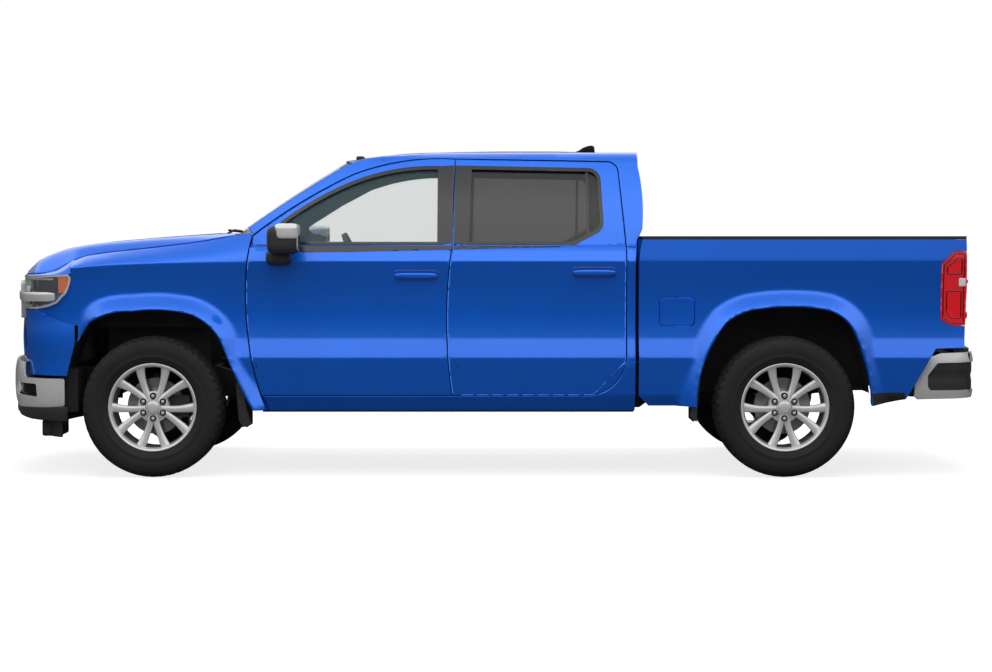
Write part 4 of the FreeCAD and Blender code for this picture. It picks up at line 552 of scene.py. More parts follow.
def material(name, colour, rough, metal=0.0, coat=0.0, bump=0.0, grain=60.0, vary=0.06, rough_vary=0.06,
             coat_rough=0.03, sheen=0.0, spec=0.5, weave=False, detail=4.0):
    """Procedural finish: two noises move colour and roughness a little, and a fine one the surface."""
    m = bpy.data.materials.new(name)
    m.use_nodes = True
    nodes, links = m.node_tree.nodes, m.node_tree.links
    p = nodes["Principled BSDF"]
    p.inputs["Metallic"].default_value = metal
    p.inputs["Coat Weight"].default_value = coat
    p.inputs["Coat Roughness"].default_value = coat_rough
    p.inputs["Sheen Weight"].default_value = sheen
    p.inputs["Specular IOR Level"].default_value = spec
    where = nodes.new("ShaderNodeTexCoord")
    ramp = two_tones(m.node_tree, noise(m.node_tree, where, 3.0, 3.0), colour, vary, p.inputs["Base Color"])
    ramp.color_ramp.elements[0].position = 0.3
    ramp.color_ramp.elements[1].position = 0.7
    fine = noise(m.node_tree, where, grain, detail)
    rr = nodes.new("ShaderNodeMapRange")
    rr.inputs["To Min"].default_value = max(0.01, rough - rough_vary)
    rr.inputs["To Max"].default_value = min(1.0, rough + rough_vary)
    links.new(fine.outputs["Fac"], rr.inputs["Value"])
    links.new(rr.outputs["Result"], p.inputs["Roughness"])
    if weave:
        height = nodes.new("ShaderNodeMath")
        height.operation = "ADD"
        for axis, slot_in in ((0, 0), (1, 1)):
            wave = nodes.new("ShaderNodeTexWave")
            wave.bands_direction = "YZ"[axis]
            wave.inputs["Scale"].default_value = 160.0
            wave.inputs["Distortion"].default_value = 0.6
            links.new(where.outputs["Object"], wave.inputs["Vector"])
            links.new(wave.outputs["Fac"], height.inputs[slot_in])
        source = height.outputs["Value"]
    else:
        source = fine.outputs["Fac"]
    if bump:
        b = nodes.new("ShaderNodeBump")
        b.inputs["Strength"].default_value = bump
        b.inputs["Distance"].default_value = 0.001
        links.new(source, b.inputs["Height"])
        links.new(b.outputs["Normal"], p.inputs["Normal"])
    return m


def glass_material(name, tint, see, rough=0.02):
    """Thin car glass: part clear, part gloss, with a slight unevenness in its tint."""
    m = bpy.data.materials.new(name)
    m.use_nodes = True
    p = m.node_tree.nodes["Principled BSDF"]
    p.inputs["Roughness"].default_value = rough
    p.inputs["Alpha"].default_value = 1.0 - see
    p.inputs["Coat Weight"].default_value = 0.6
    where = m.node_tree.nodes.new("ShaderNodeTexCoord")
    two_tones(m.node_tree, noise(m.node_tree, where, 2.0), tint, 0.07, p.inputs["Base Color"])
    return m


paint = material("paint_blue", (0.0, 0.155, 0.86), 0.38, metal=0.64, coat=1.0, bump=0.02, grain=900,
                 vary=0.03, rough_vary=0.05, coat_rough=0.02)
# Darker copy of the body paint for inner sides, ledges and recesses: painted shade
shaded_inner_paint = material("paint_inner_shaded", (0.003, 0.05, 0.34), 0.5, coat=0.3, bump=0.03, grain=400)
chrome = material("chrome_satin", (0.70, 0.70, 0.70), 0.28, metal=0.45, bump=0.01, grain=500, vary=0.03,
                  rough_vary=0.04)
alloy = material("alloy_bright", (0.72, 0.72, 0.73), 0.30, metal=0.40, coat=0.4, bump=0.01, grain=700,
                 vary=0.03)
barrel_metal = material("alloy_barrel", (0.40, 0.41, 0.42), 0.35, metal=0.8, bump=0.02, grain=300)
black = material("black_grained", (0.016, 0.016, 0.018), 0.55, bump=0.35, grain=1400, vary=0.15, detail=8)
gloss_black = material("black_gloss", (0.008, 0.008, 0.009), 0.12, coat=0.6, bump=0.01, grain=200, vary=0.2,
                       rough_vary=0.03)
rubber = material("rubber", (0.013, 0.013, 0.014), 0.72, bump=0.25, grain=500, vary=0.2, spec=0.3)
tyre_rubber = material("tyre_rubber", (0.013, 0.0125, 0.012), 0.66, bump=0.22, grain=420, vary=0.25,
                       spec=0.35)
iron = material("iron", (0.075, 0.072, 0.07), 0.62, metal=0.6, bump=0.5, grain=160, vary=0.3, rough_vary=0.15)
steel = material("frame_black", (0.022, 0.022, 0.024), 0.5, metal=0.3, bump=0.2, grain=220, vary=0.3)
disc_steel = material("brake_disc", (0.42, 0.42, 0.43), 0.3, metal=1.0, bump=0.08, grain=240, vary=0.12)
aluminium = material("aluminium", (0.5, 0.5, 0.52), 0.35, metal=0.9, bump=0.1, grain=200)
fabric = material("seat_fabric", (0.035, 0.036, 0.04), 0.9, bump=0.55, grain=260, vary=0.2, sheen=0.35,
                  weave=True)
trim_fabric = material("headliner", (0.10, 0.10, 0.10), 0.95, bump=0.4, grain=900, vary=0.08, sheen=0.3)
inner_trim = material("inner_trim", (0.03, 0.031, 0.034), 0.6, bump=0.3, grain=700, vary=0.15)
liner_felt = material("liner_felt", (0.012, 0.012, 0.013), 0.9, bump=0.5, grain=500, vary=0.3)
lamp_red = material("lamp_red", (0.92, 0.012, 0.024), 0.12, coat=1.0, bump=0.06, grain=120, vary=0.2)
lamp_dark = material("lamp_dark_red", (0.09, 0.004, 0.006), 0.14, coat=1.0, bump=0.05, grain=120, vary=0.25)
lamp_white = material("lamp_white", (0.78, 0.79, 0.8), 0.15, coat=1.0, bump=0.1, grain=160)
lamp_amber = material("lamp_amber", (0.85, 0.17, 0.0), 0.14, coat=1.0, bump=0.08, grain=160, vary=0.15)
clear = glass_material("glass_clear", (0.22, 0.36, 0.34), 0.89)
shield = glass_material("glass_windshield", (0.16, 0.21, 0.19), 0.80)
privacy = glass_material("glass_privacy", (0.012, 0.014, 0.014), 0.45)
lens = glass_material("lens_clear", (0.35, 0.36, 0.38), 0.88)


# ---------------------------------------------------------------- skin of the body
crease_reach = 6.0
side_heights = [rocker, sill, crease, shelf, hollow_top, shoulder_level]
side_halves = [rocker_half, sill_half, crease_half, shelf_half, hollow_half, shoulder_half]
# Above the shoulder: heights and half widths of the cab's side and of the load box's
top_cab = [belt, 1500.0], [belt_half, 912.0]
top_bed = [rail_height, 1500.0], [rail_half, 979.0]
# The solid side frame's own crease and shelf, which lie lower
frame_crease, frame_shelf = 672.0, 755.0
frame_heights = [rocker, sill, frame_crease, frame_shelf, hollow_top, shoulder_level, belt]
frame_halves = [rocker_half, sill_half, 998.0, 972.0, hollow_half, shoulder_half, belt_half]


def hollow(z, low, low_half):
    """Half width of the door's hollow, from its lower edge to its upper one."""
    return parabola(z, [(low, low_half), (waist, waist_half), (hollow_top, hollow_half)])


def side_line(z, top):
    """Half width of the body side, with its creases sharp."""
    if shelf < z < hollow_top:
        return hollow(z, shelf, shelf_half)
    return table(z, side_heights + top[0], side_halves + top[1])


def frame_line(z):
    """Half width of the solid side frame below the belt, with its creases sharp."""
    if frame_shelf < z < hollow_top:
        return hollow(z, frame_shelf, frame_halves[3])
    return table(z, frame_heights, frame_halves)


def softened(z, top):
    """Half width of the body side, with its creases rounded."""
    return averaged(lambda at: side_line(at, top), z, crease_reach)


def cab_lower(z):
    """Half width of the cab's side below the belt."""
    return softened(z, top_cab)


def frame_lower(z):
    """Half width of the solid side frame, with its creases rounded."""
    return averaged(frame_line, z, crease_reach)


def bed_skin(y, z):
    """Half width of the load box, which is the same all along it."""
    return softened(z, top_bed)


taper_most = 60.0
taper_at = [-0.10, 0.20, 0.42, 0.62, 1.08]
taper_by = [1.00, 0.42, 0.12, 0.00, 0.20]
roof_rail_height, roof_rail_half = 1890.0, 745.0
roof_seam_half = 665.0
roof_seam_rise = 46.0
# Height and half width of the glass area's side at its foot, in its middle and at the roof rail
glass_line = [(1352.0, 950.0), (1631.0, 865.5), (roof_rail_height, roof_rail_half)]


def taper(y):
    """How far the glass area is drawn in at a station."""
    return taper_most * soft_table((y - door_front) / (cab_rear - door_front), taper_at, taper_by, 0.08)


def upper_x(y, z):
    """Half width above the belt, rolling over from the roof rail to the roof."""
    t = taper(y)
    if z < roof_rail_height:
        return parabola(z, glass_line) - t
    k = clamp((z - roof_rail_height) / roof_seam_rise)
    roll = roof_rail_half - roof_seam_half
    return roof_rail_half - t - roll * (1 - math.cos(k * math.pi / 2)) * 0.85 - 12 * k


def cab_skin(y, z):
    """Half width of the cab's side, below and above the belt."""
    t = smooth((z - (belt - 6)) / 12)
    return cab_lower(z) * (1 - t) + upper_x(y, z) * t if z < belt + 8 else upper_x(y, z)


# Fender, swept in towards the lamps
fender_at = [0.00, 0.26, 0.46, 0.66, 0.80, 0.90, 1.00]
fender_start = door_front + 124.0
fender_run = 1414.0
# How far it is tucked in behind the lamps, by shares of its run
tuck_most = 60
tuck_at = [0.70, 0.80, 0.89, 0.975, 1.06]
tuck_by = [0.00, 0.05, 0.33, 0.83, 1.50]
# Round the fold of the shoulder: the height over which it turns, how steeply it starts, and how full it is
fold_turn, fold_slope, fold_fullness = 12, 0.12, 14


def swept(y, start, fall, amounts, reach=0.04):
    """Value that falls along the fender from its start to the lamps."""
    return start - fall * soft_table((fender_start - y) / fender_run, fender_at, amounts, reach)


def shoulder(y):
    """Height of the fender's shoulder."""
    return swept(y, 1285, 82, [0.00, 0.05, 0.12, 0.24, 0.42, 0.68, 1.00])


def seam(y):
    """Height of the seam between fender and hood."""
    return swept(y, 1475, 267, [0.00, 0.27, 0.405, 0.513, 0.625, 0.963, 1.00])


def fender_top(y):
    """Half width at that seam."""
    return swept(y, 895, 113, [0.00, 0.00, 0.01, 0.05, 0.17, 0.45, 1.00], 0.05)


def fender_skin(y, z):
    """Half width of the fender, tucked in behind the lamps."""
    tuck = tuck_most * soft_table((fender_start - y) / fender_run, tuck_at, tuck_by, 0.03)
    if z <= hollow_top:
        return cab_lower(z) - tuck
    fold = shoulder(y)
    if z <= fold - fold_turn:
        heights = [1100.0, hollow_top, max(1190.0, fold - 3), 1400.0]
        return soft_table(z, heights, [973.0, hollow_half, shoulder_half, 1000.0], 5.0) - tuck
    top_z, top = seam(y), fender_top(y)
    base = shoulder_half - tuck
    mid_z = fold + (top_z - fold) * 2 / 3
    mid_x = (base + 2 * top) / 3 + fold_fullness
    curve = parabola(z, [(fold, base), (mid_z, mid_x), (top_z + 1e-3, top)])
    start = base - max(0.0, (z - fold + fold_turn) * fold_slope)
    return min(start, curve) if z < fold + 10 else curve


# Shares of the heights below and above the belt and of the doors' lengths, as places
def greenhouse(share):
    return belt + share * (roof_height - belt)


def door_z(share):
    return sill + share * (belt - sill)


def front_y(share):
    return door_front + share * front_door_length


def rear_y(share):
    return pillar + share * rear_door_length


front_door = outline([(front_y(0.076), sill), ("via", front_y(0.001), door_z(0.70)),
                      (front_y(0.030), greenhouse(0.10)), ("via", front_y(0.285), greenhouse(0.455)),
                      (front_y(0.529), greenhouse(0.720)), ("via", front_y(0.735), greenhouse(0.840)),
                      (front_y(1.039), greenhouse(0.880)), (front_y(1.025), belt),
                      ("via", front_y(0.998), door_z(0.50)), (front_y(1.025), sill)])
gap_share = gap / rear_door_length
rear_door = outline([(rear_y(0.028 + gap_share), sill), ("via", rear_y(-0.002 + gap_share), door_z(0.50)),
                     (rear_y(0.028 + gap_share), belt), (rear_y(0.043 + gap_share), greenhouse(0.880)),
                     (rear_y(0.958), greenhouse(0.850), 62.0), (rear_y(1.0), belt - gap),
                     (rear_y(1.0), door_z(0.24)), ("via", rear_y(0.940), door_z(0.085)),
                     (rear_y(0.800), sill)])
front_glass = outline([(front_y(0.176), belt + 16), (front_y(0.176), greenhouse(0.235)),
                       ("via", front_y(0.350), greenhouse(0.465)), (front_y(0.540), greenhouse(0.650)),
                       ("via", front_y(0.725), greenhouse(0.755)), (front_y(0.985), greenhouse(0.790)),
                       (front_y(0.972), belt + 16)])
rear_glass = outline([(rear_y(0.095), belt + 16), (rear_y(0.105), greenhouse(0.795)),
                      (rear_y(0.850), greenhouse(0.770), 62.0), (rear_y(0.868), greenhouse(0.180), 62.0),
                      (rear_y(0.700), belt + 16)])
cab_side = outline([(front_y(0.110), rocker), (front_y(0.076), sill), ("via", front_y(0.001), door_z(0.70)),
                    (front_y(0.030), greenhouse(0.12)), (front_y(0.001), greenhouse(0.184)),
                    ("via", front_y(0.235), greenhouse(0.505)), (front_y(0.470), greenhouse(0.801)),
                    ("via", front_y(0.560), greenhouse(0.872)), (front_y(0.700), greenhouse(0.925)),
                    (front_y(0.960), 1935.0), (cab_rear + 24, 1935.0), (cab_rear + 24, greenhouse(0.81)),
                    ("via", cab_rear + 48, greenhouse(0.45)), (cab_rear + 42, greenhouse(0.17)),
                    (cab_rear + 12, greenhouse(0.06)), (cab_rear, 1285.0), (cab_rear, rocker)])


# ---------------------------------------------------------------- wheel arches
# Shares of the arch radius, from the axle forwards or backwards and up
arch_radius = 500.0
front_arch = [(-1.01, 0.25), ("via", -0.948, 0.608), (-0.736, 1.0), ("via", -0.526, 1.10), (-0.224, 1.136),
              ("via", 0.168, 1.150), (0.438, 1.110), ("via", 0.68, 0.97), (0.83, 0.76),
              ("via", 0.945, 0.474), (1.19, -0.02)]
rear_arch = [(-1.05, 0.02), ("via", -0.94, 0.60), (-0.71, 0.998), ("via", -0.548, 1.104), (-0.32, 1.164),
             ("via", 0.138, 1.192), (0.464, 1.158), ("via", 0.69, 1.044), (0.822, 0.864),
             ("via", 0.918, 0.604), (1.01, 0.16)]


def arch_ring(axle, shares):
    """Outline of a wheel opening, open downwards."""
    points = []
    for p in shares:
        via = p[:-2]
        points.append((*via, axle + arch_radius * p[-2], axle_height + arch_radius * p[-1]))
    last, first = points[-1], points[0]
    return outline(points + [(last[0], 200.0), (first[0], 200.0)], 18)


def arched(skin, ring, fade=lambda y: 1.0):
    """The skin with the raised band round a wheel arch, which may fade out along the body."""
    reach, lowest = 110.0, 400.0
    flat_width, slope = 14.0, 66.0 / 82.0
    edge_width, edge_drop = 10.0, 5.0
    blend = 9.0

    def x(y, z):
        d = near((y, z), ring)
        base = skin(y, z)
        if d > reach or z < lowest:
            return base
        lip = arch_half - max(0.0, d - flat_width) * slope
        lip = base - blend + (lip - base + blend) * fade(y)
        if d < edge_width:
            lip -= edge_drop * ((edge_width - d) / edge_width) ** 2
        rise = lip - base
        if rise > blend:
            return lip
        if rise < -blend:
            return base
        return base + (rise + blend) ** 2 / (4 * blend)
    return x


fender_nose = -2450.0
flare_fade = 190.0
arch_front = arch_ring(front_axle, front_arch)
arch_rear = arch_ring(rear_axle, rear_arch)
fender_skin_flared = arched(fender_skin, arch_front, lambda y: smooth((y - fender_nose) / flare_fade))
bed_skin_flared = arched(bed_skin, arch_rear)


def level(z):
    """Crease line that keeps its height."""
    return lambda u: z


lower_creases = [level(z) for z in (sill, crease, shelf, hollow_top, shoulder_level)]
door_creases = lower_creases + [level(belt)]


def fender_ring():
    """Outline of the fender, along the door, the hood, the lamp and the bumper."""
    hinge_gap = 8
    rear = front_y(0.030) - hinge_gap
    stations = [rear + (fender_nose - rear) * i / 24 for i in range(25)]
    top = [(y, seam(y) - 2) for y in stations]
    low = outline([(front_y(0.110) - hinge_gap, rocker), (front_y(0.076) - hinge_gap, sill),
                   ("via", front_y(0.001) - hinge_gap, door_z(0.70)), (rear, greenhouse(0.10)), top[0],
                   (fender_nose, 1206.0)])
    return low[:-2] + top + [(-2456.0, 1130.0), (-2560.0, 1068.0), (-2674.0, 994.0), (-2545.0, 940.0),
                             (-2414.0, 900.0), (-2414.0, rocker)]


# ---------------------------------------------------------------- sides of the body
lamp_front = bed_rear - 148.0
lamp_hole = outline([(lamp_front, 938.0, 18.0), (lamp_front + 62, 902.0), (3000.0, 902.0), (3000.0, 1345.0),
                     (lamp_front + 74, 1345.0, 12.0), (lamp_front, 1271.0, 12.0)])
fuel_mid = (bed_front + 226.0, 986.0)


def rounded(y, z, half_width, half_height, radius):
    """Rectangle with round corners about its middle."""
    return outline([(y - half_width, z - half_height, radius), (y + half_width, z - half_height, radius),
                    (y + half_width, z + half_height, radius), (y - half_width, z + half_height, radius)])


def fuel_ring(by):
    """Outline of the fuel door, grown by a distance."""
    return rounded(*fuel_mid, 104.0 + by, 85.0 + by, 26.0)


bed_ring = outline([(bed_front, sill), (bed_front, 1285.0), ("via", bed_front + 6.7, 1348.5),
                    (bed_front + 20, rail_height), (2835.7, rail_height), (2842.0, 1142.5), (2830.0, 774.0),
                    (2660.0, 768.0), (2491.0, 465.0), (2251.0, 425.0), (965.0, 425.0)])

for side, s in both:
    # The side's skin stays outside the solid side frame, whose lower crease lies elsewhere
    cab = side_panel("cab_side_" + side, s, cab_side, [grow(front_door, gap), grow(rear_door, gap)], 22,
                     lambda y, z: max(cab_skin(y, z), frame_lower(z) if z < belt - 8 else 0.0) + 2.0,
                     [paint], "truck", 2.5, edge=0, creases=door_creases)
    fender = side_panel("fender_" + side, s, fender_ring(), [arch_front], 18, fender_skin_flared,
                        [paint, shaded_inner_paint], "truck", 7, inner=1, edge=2.0,
                        creases=lower_creases[:-1] + [lambda y: shoulder(y) - 2])
    tag(fender, "paint", "front_fenders")
    holes = [arch_rear, lamp_hole] + ([fuel_ring(3.0)] if s > 0 else [])
    bed = side_panel("bed_side_" + side, s, bed_ring, holes, 18, bed_skin_flared, [paint, shaded_inner_paint],
                     "truck", 46, inner=1, edge=2.5, creases=lower_creases)
    tag(bed, "paint", "bed_sides")
    for kind, ring, hole in (("front", front_door, front_glass), ("rear", rear_door, rear_glass)):
        name = "door_%s_%s" % (kind, side)
        skin = side_panel(name + "_skin", s, ring, [hole], 22, lambda y, z: cab_skin(y, z) + 1.0,
                          [paint, inner_trim], name, 46, inner=1, edge=1.6, creases=door_creases)
        tag(skin, "paint", name)
    # Paint over the solid frame's corner that shows outside the rear door's lower corner
    corner_ring = outline([(rear_y(0.812), sill - 3), ("via", rear_y(0.940), door_z(0.083)),
                           (rear_y(1.0) + 1, door_z(0.225)), (rear_y(0.986), door_z(0.222))])
    corner_cover = side_panel("jamb_corner_" + side, s, corner_ring, [], 14,
                              lambda y, z: frame_lower(z) + 1.2, [paint], "truck", 1.0, edge=0)

lid = side_panel("fuel_lid", 1, fuel_ring(-3.0), [], 14, bed_skin, [paint, shaded_inner_paint], "fuel_door", 8,
                 inner=1, edge=2.0)
tag(lid, "paint", "fuel_door")


# ---------------------------------------------------------------- hood and roof
hood_at = [0.00, 0.17, 0.38, 0.60, 0.71, 0.80, 0.87, 0.94, 1.00]
hood_crown = [0.00, 0.06, 0.14, 0.24, 0.33, 0.45, 0.60, 0.80, 1.00]
hood_edge = [0.08, 0.25, 0.386, 0.516, 0.646, 0.96, 1.00, 1.02, 1.04]
hood_rear, hood_run = -1480.0, 1370.0
hood_height, hood_fall = 1464.0, 254.0
# Fall from the hood's middle to its side, and how far inside the edge its roll begins and blends in
hood_side_fall, hood_roll, hood_blend = 12, 158, 40


def hood_z(x, y):
    """Height of the hood: crowned in the middle, rolled down at its sides and front corners."""
    p = (hood_rear - y) / hood_run
    top = hood_height - hood_fall * soft_table(p, hood_at, hood_crown, 0.045)
    brow = top - hood_side_fall
    edge = min(hood_height - hood_fall * soft_table(p, hood_at, hood_edge, 0.045), brow - 6)
    a = abs(x)
    inner = top - hood_side_fall * (a / 760) ** 2
    side = soft_table(y, [-2850.0, -2800.0, -2704.0, -2450.0, -2124.0], [200.0, 560.0, 760.0, 862.0, 888.0],
                      6.0)
    if a < side - hood_roll:
        return inner
    mid = brow - (brow - edge) / 3
    outer = parabola(clamp(a, side - 143, side), [(side - 128, brow), (side - 43, mid), (side, edge)])
    return inner + (outer - inner) * smooth((a - side + hood_roll) / hood_blend)


hood_right = [(760.0, -2704.0), (862.0, fender_nose), (888.0, -2124.0), (888.0, hood_rear)]
hood_ring = outline([(-x, y) for x, y in reversed(hood_right)]
                    + [(-560.0, -2800.0), ("via", 0.0, -2844.0), (560.0, -2800.0)]
                    + hood_right + [("via", 0.0, -1670.0)], 24)
hood = panel("hood_panel", hood_ring, [], 26, lambda x, y: (x, y, hood_z(x, y)), [paint, shaded_inner_paint],
             "hood", 22, inner=1, edge=4.0)
tag(hood, "paint", "hood")

roof_front = front_y(0.510)
roof_rear = cab_rear + 22
roof_at = [0.0, 0.09, 0.20, 0.31, 0.50, 0.75, 0.945, 1.0]
roof_drop = [1.24, 0.66, 0.24, 0.12, 0.0, 0.0, 0.32, 0.50]
roof_bow = [1.0, 0.6, 0.25, 0.0, 0.0, 0.0, 0.0, 0.0]
# How far the roof's front edge bows, how far its ends droop, and how far its sides fall
roof_bow_most, roof_drop_most, roof_side_fall = 70, 50, 26


def roof_grid():
    """Roof skin between its side seams, drooping to the front, the back and the sides."""
    verts = []
    rows, cols = 56, 40
    for r in range(rows + 1):
        p = r / rows
        y0 = roof_front + p * (roof_rear - roof_front)
        half = roof_seam_half - taper(y0)
        bow = roof_bow_most * soft_table(p, roof_at, roof_bow, 0.02)
        top = roof_height - roof_drop_most * soft_table(p, roof_at, roof_drop, 0.035)
        for c in range(cols + 1):
            u = -1 + 2 * c / cols
            verts.append((half * u, y0 - bow * (1 - u * u), top - roof_side_fall * u * u))
    return verts, grid_faces(rows, cols)


roof = make("roof_skin", *roof_grid(), [paint, trim_fabric], "truck")
solidify(roof, 16, 1)
bevel(roof, 4)
tag(roof, "paint", "roof")
fin_ring = outline([(546.0, 1946.0), (546.0, 1960.0), (585.0, 1975.0), ("via", 625.0, 1998.0),
                    (668.0, 2007.0, 9.0), (682.0, 1998.0, 6.0), (688.0, 1946.0)])
fin = merged("roof_fin", [prism_x(fin_ring, -18, 18)], gloss_black, "truck", 5.0, 3)


# ---------------------------------------------------------------- glass
shield_rows, shield_cols = 26, 36
# Half width, place along the truck, bow and height of the windshield at its base and at the roof
shield_base, shield_top = (812.0, -1382.5, 190.0, 1439.85), (640.0, -801.8, 70.0, 1900.0)
# How far it bulges between them, and how far its upper corners fall
shield_bulge, shield_fall = 10, 26


def shield_grid(out=0.0):
    """Windshield from its base to the roof, moved outwards by a distance."""
    verts = []
    for r in range(shield_rows + 1):
        v = r / shield_rows
        half, y0, bow, z = [low + (high - low) * v for low, high in zip(shield_base, shield_top)]
        lift = shield_bulge * math.sin(math.pi * v) + out
        for c in range(shield_cols + 1):
            u = -1 + 2 * c / shield_cols
            verts.append((half * u, y0 - bow * (1 - u * u) - lift * 0.55,
                          z - shield_fall * v * u * u + lift * 0.83))
    return verts, grid_faces(shield_rows, shield_cols)


windshield = make("windshield", *shield_grid(), [shield], "truck")
solidify(windshield, 6)
tag(windshield, "glass", "cab_glass")


def shield_border():
    """Dark band printed round the windshield's edge."""
    verts, faces = shield_grid(out=-7.0)
    kept = []
    for face in faces:
        r, c = divmod(face[0], shield_cols + 1)
        if r < 2 or r > shield_rows - 3 or c < 1 or c > shield_cols - 2:
            kept.append(face)
    return verts, kept


border = make("windshield_border", *shield_border(), [gloss_black], "truck")


def rear_wall_y(z):
    """Outer face of the cab's back at a height."""
    return parabola(z, [(greenhouse(0.17), 927.0), (greenhouse(0.45), 933.0), (greenhouse(0.81), 909.0)])


pane_ring = outline([(-640.0, greenhouse(0.10), 62.0), (640.0, greenhouse(0.10), 62.0),
                     (578.0, greenhouse(0.78), 62.0), (-578.0, greenhouse(0.78), 62.0)])
pane = panel("rear_glass", pane_ring, [], 30, lambda x, z: (x, rear_wall_y(z) - 14, z), [privacy], "truck", 5,
             edge=0, flip=True)


def window_skin(y, z):
    """The cab's skin above the belt, carried straight on below it."""
    return cab_skin(y, max(z, belt + 8))


for side, s in both:
    for kind, ring, mat in (("front", front_glass, clear), ("rear", rear_glass, privacy)):
        name = "window_%s_%s" % (kind, side)
        body = "door_%s_%s" % (kind, side)
        glass = side_panel(name + "_pane", s, grow(ring, 4.0), [], 30, lambda y, z: window_skin(y, z) - 16,
                           [mat], body, 5, edge=0)
        tag(glass, "glass", name)
        trim = side_panel(name + "_trim", s, grow(ring, 13.0), [grow(ring, -9.0)], 30,
                          lambda y, z: window_skin(y, z) + 3.5, [gloss_black], body, 18, edge=2.0)


# ---------------------------------------------------------------- wheels
# Steps round the tyre from one cross cut to the next
tread_pitch = 6
bolt_circle = 67
# Radius of a turned part's ends, which stand for points
on_axis = 0.01


def placed(parts, centre_y, s):
    """Wheel-centred points (outwards, y, z) moved to a wheel of either side."""
    verts, faces = parts
    moved = [(s * (wheel_plane + x), centre_y + y, axle_height + z) for x, y, z in verts]
    return moved, (faces if s > 0 else [tuple(reversed(face)) for face in faces])


def tread_cut(x, r, k):
    """How deep the tread is cut at a place across the tyre and a step round it."""
    a = abs(x)
    if 92 < a <= 123 and r > 395:
        return 7.0 if k % tread_pitch < 2 else 0.0
    if a > 120 and r > 380:
        return 2.0 if k % tread_pitch < 2 else 0.0
    if r <= 400:
        return 0.0
    # Cross cuts of each rib, a few steps apart from rib to rib and side to side
    for inner, outer, right, left in ((24, 52, 2, 4), (-1, 17, 3, 3), (59, 88, 3, 0)):
        if inner < a < outer:
            return 6.0 if (k + (right if x > 0 else left)) % tread_pitch == 0 else 0.0
    return 0.0


def tyre_mesh():
    """Tyre as a surface of revolution, with grooves round it and cuts across its tread."""
    groove = 8.0
    line = [(-106, 258), (-113, 262), (-122, 276), (-131, 300), (-132.2, 303), (-131, 306), (-136.5, 332),
            (-137.5, 345), (-136.5, 362), (-132, 380), (-131.5, 384), (-129.0, 387), (-122, 402)]
    half_crown = [14, 17, 24, 27, 49, 52, 59, 62, 84, 88, 92, 97, 104, 114]
    crown = []
    for x in [-x for x in reversed(half_crown)] + half_crown:
        r = tyre_radius - 9 * (abs(x) / 114) ** 4
        if 52 <= abs(x) <= 59 or 17 <= abs(x) <= 24 or 88 <= abs(x) <= 92:
            r -= groove
        crown.append((x, r))
    profile = line + crown + [(-x, r) for x, r in reversed(line)]
    sides = 48 * tread_pitch
    verts, faces = [], []
    for k in range(sides):
        t = 2 * math.pi * k / sides
        for x, r in profile:
            radius = min(r, tyre_radius) - tread_cut(x, r, k)
            verts.append((x, radius * math.sin(t), radius * math.cos(t)))
    n = len(profile)
    for k in range(sides):
        a, b = k * n, ((k + 1) % sides) * n
        faces += [(a + i, a + i + 1, b + i + 1, b + i) for i in range(n - 1)]
    return verts, faces


def spoke_mesh(middle, side):
    """One spoke of a pair, from hub to rim, crowned on its face."""
    verts, faces = [], []
    stations = 9
    # Radius, and degrees from the middle of the pair, at the hub and at the rim
    hub_radius, rim_radius, hub_angle, rim_angle = 46, 247, 9.0, 18.0
    for i in range(stations):
        t = i / (stations - 1)
        r = hub_radius + (rim_radius - hub_radius) * t
        angle = math.radians(middle + side * (hub_angle + (rim_angle - hub_angle) * t))
        half = 21.5 - 5.0 * math.sin(math.pi * min(1, t * 1.1)) + 7.0 * t
        face = 88 + 6 * t * t - 5 * math.sin(math.pi * t)
        back = face - (44 - 16 * t)
        out = Vector((0, math.cos(angle), math.sin(angle)))
        across = Vector((0, -math.sin(angle), math.cos(angle)))
        ring = [(face - 9, half), (face - 2, half * 0.82), (face + 1.5, half * 0.45), (face + 2, 0),
                (face + 1.5, -half * 0.45), (face - 2, -half * 0.82), (face - 9, -half), (back, -half * 0.75),
                (back, half * 0.75)]
        for x, w in ring:
            p = out * r + across * w
            verts.append((x, p.y, p.z))
    n = len(ring)
    for i in range(stations - 1):
        for k in range(n):
            a, b = i * n + k, i * n + (k + 1) % n
            faces.append((a, b, b + n, a + n))
    faces += [tuple(range(n))[::-1], tuple(range((stations - 1) * n, stations * n))]
    return verts, faces


def round_part(profile, sides, closed=True, y=0.0, z=0.0):
    """Turned part of a wheel, about its axle or a line beside it."""
    return turned(profile, (0, y, z), (1, 0, 0), sides, closed)


def round_hub(profile, sides):
    """Six turned parts on the bolt circle."""
    angles = [math.radians(30 + 60 * i) for i in range(6)]
    return joined([round_part(profile, sides, False, bolt_circle * math.cos(a), bolt_circle * math.sin(a))
                   for a in angles])


tyre_parts = tyre_mesh()
lip_parts = round_part([(116, 262), (118.5, 258), (117, 251), (113, 247), (104, 245), (98, 242), (92, 240),
                        (86, 243), (86, 255), (100, 262)], 120)
barrel_parts = round_part([(-116, 262), (-116, 252), (-104, 244), (-90, 238), (30, 232), (60, 236), (88, 241),
                           (88, 252), (-60, 256)], 120)
spoke_parts = joined([spoke_mesh(54 + 72 * i, way) for i in range(5) for way in (-1, 1)])
hub_parts = round_part([(30, on_axis), (30, 84), (50, 92), (68, 94), (74, 92), (76, 86), (76, 56), (80, 50),
                        (82, 46), (88, 45), (90, 43), (91, 30), (94, 24), (97, 14), (98, on_axis)], 72, False)
cap_parts = round_part([(84, 38), (93, 37.5), (99, 33), (101.5, 26), (102, 18), (103.5, on_axis)], 60, False)
disc_parts = round_part([(-42, 90), (-42, 168), (-16, 168), (-16, 100), (14, 92), (16, 60), (-10, 60)], 90)
nut_parts = round_hub([(60, on_axis), (60, 11), (92, 11), (94.5, 9.5), (95.5, 6), (96, on_axis)], 6)
pocket_parts = round_hub([(62, on_axis), (62, 19), (91, 19), (92.5, 17.5), (91, 15.5), (91, on_axis)], 24)

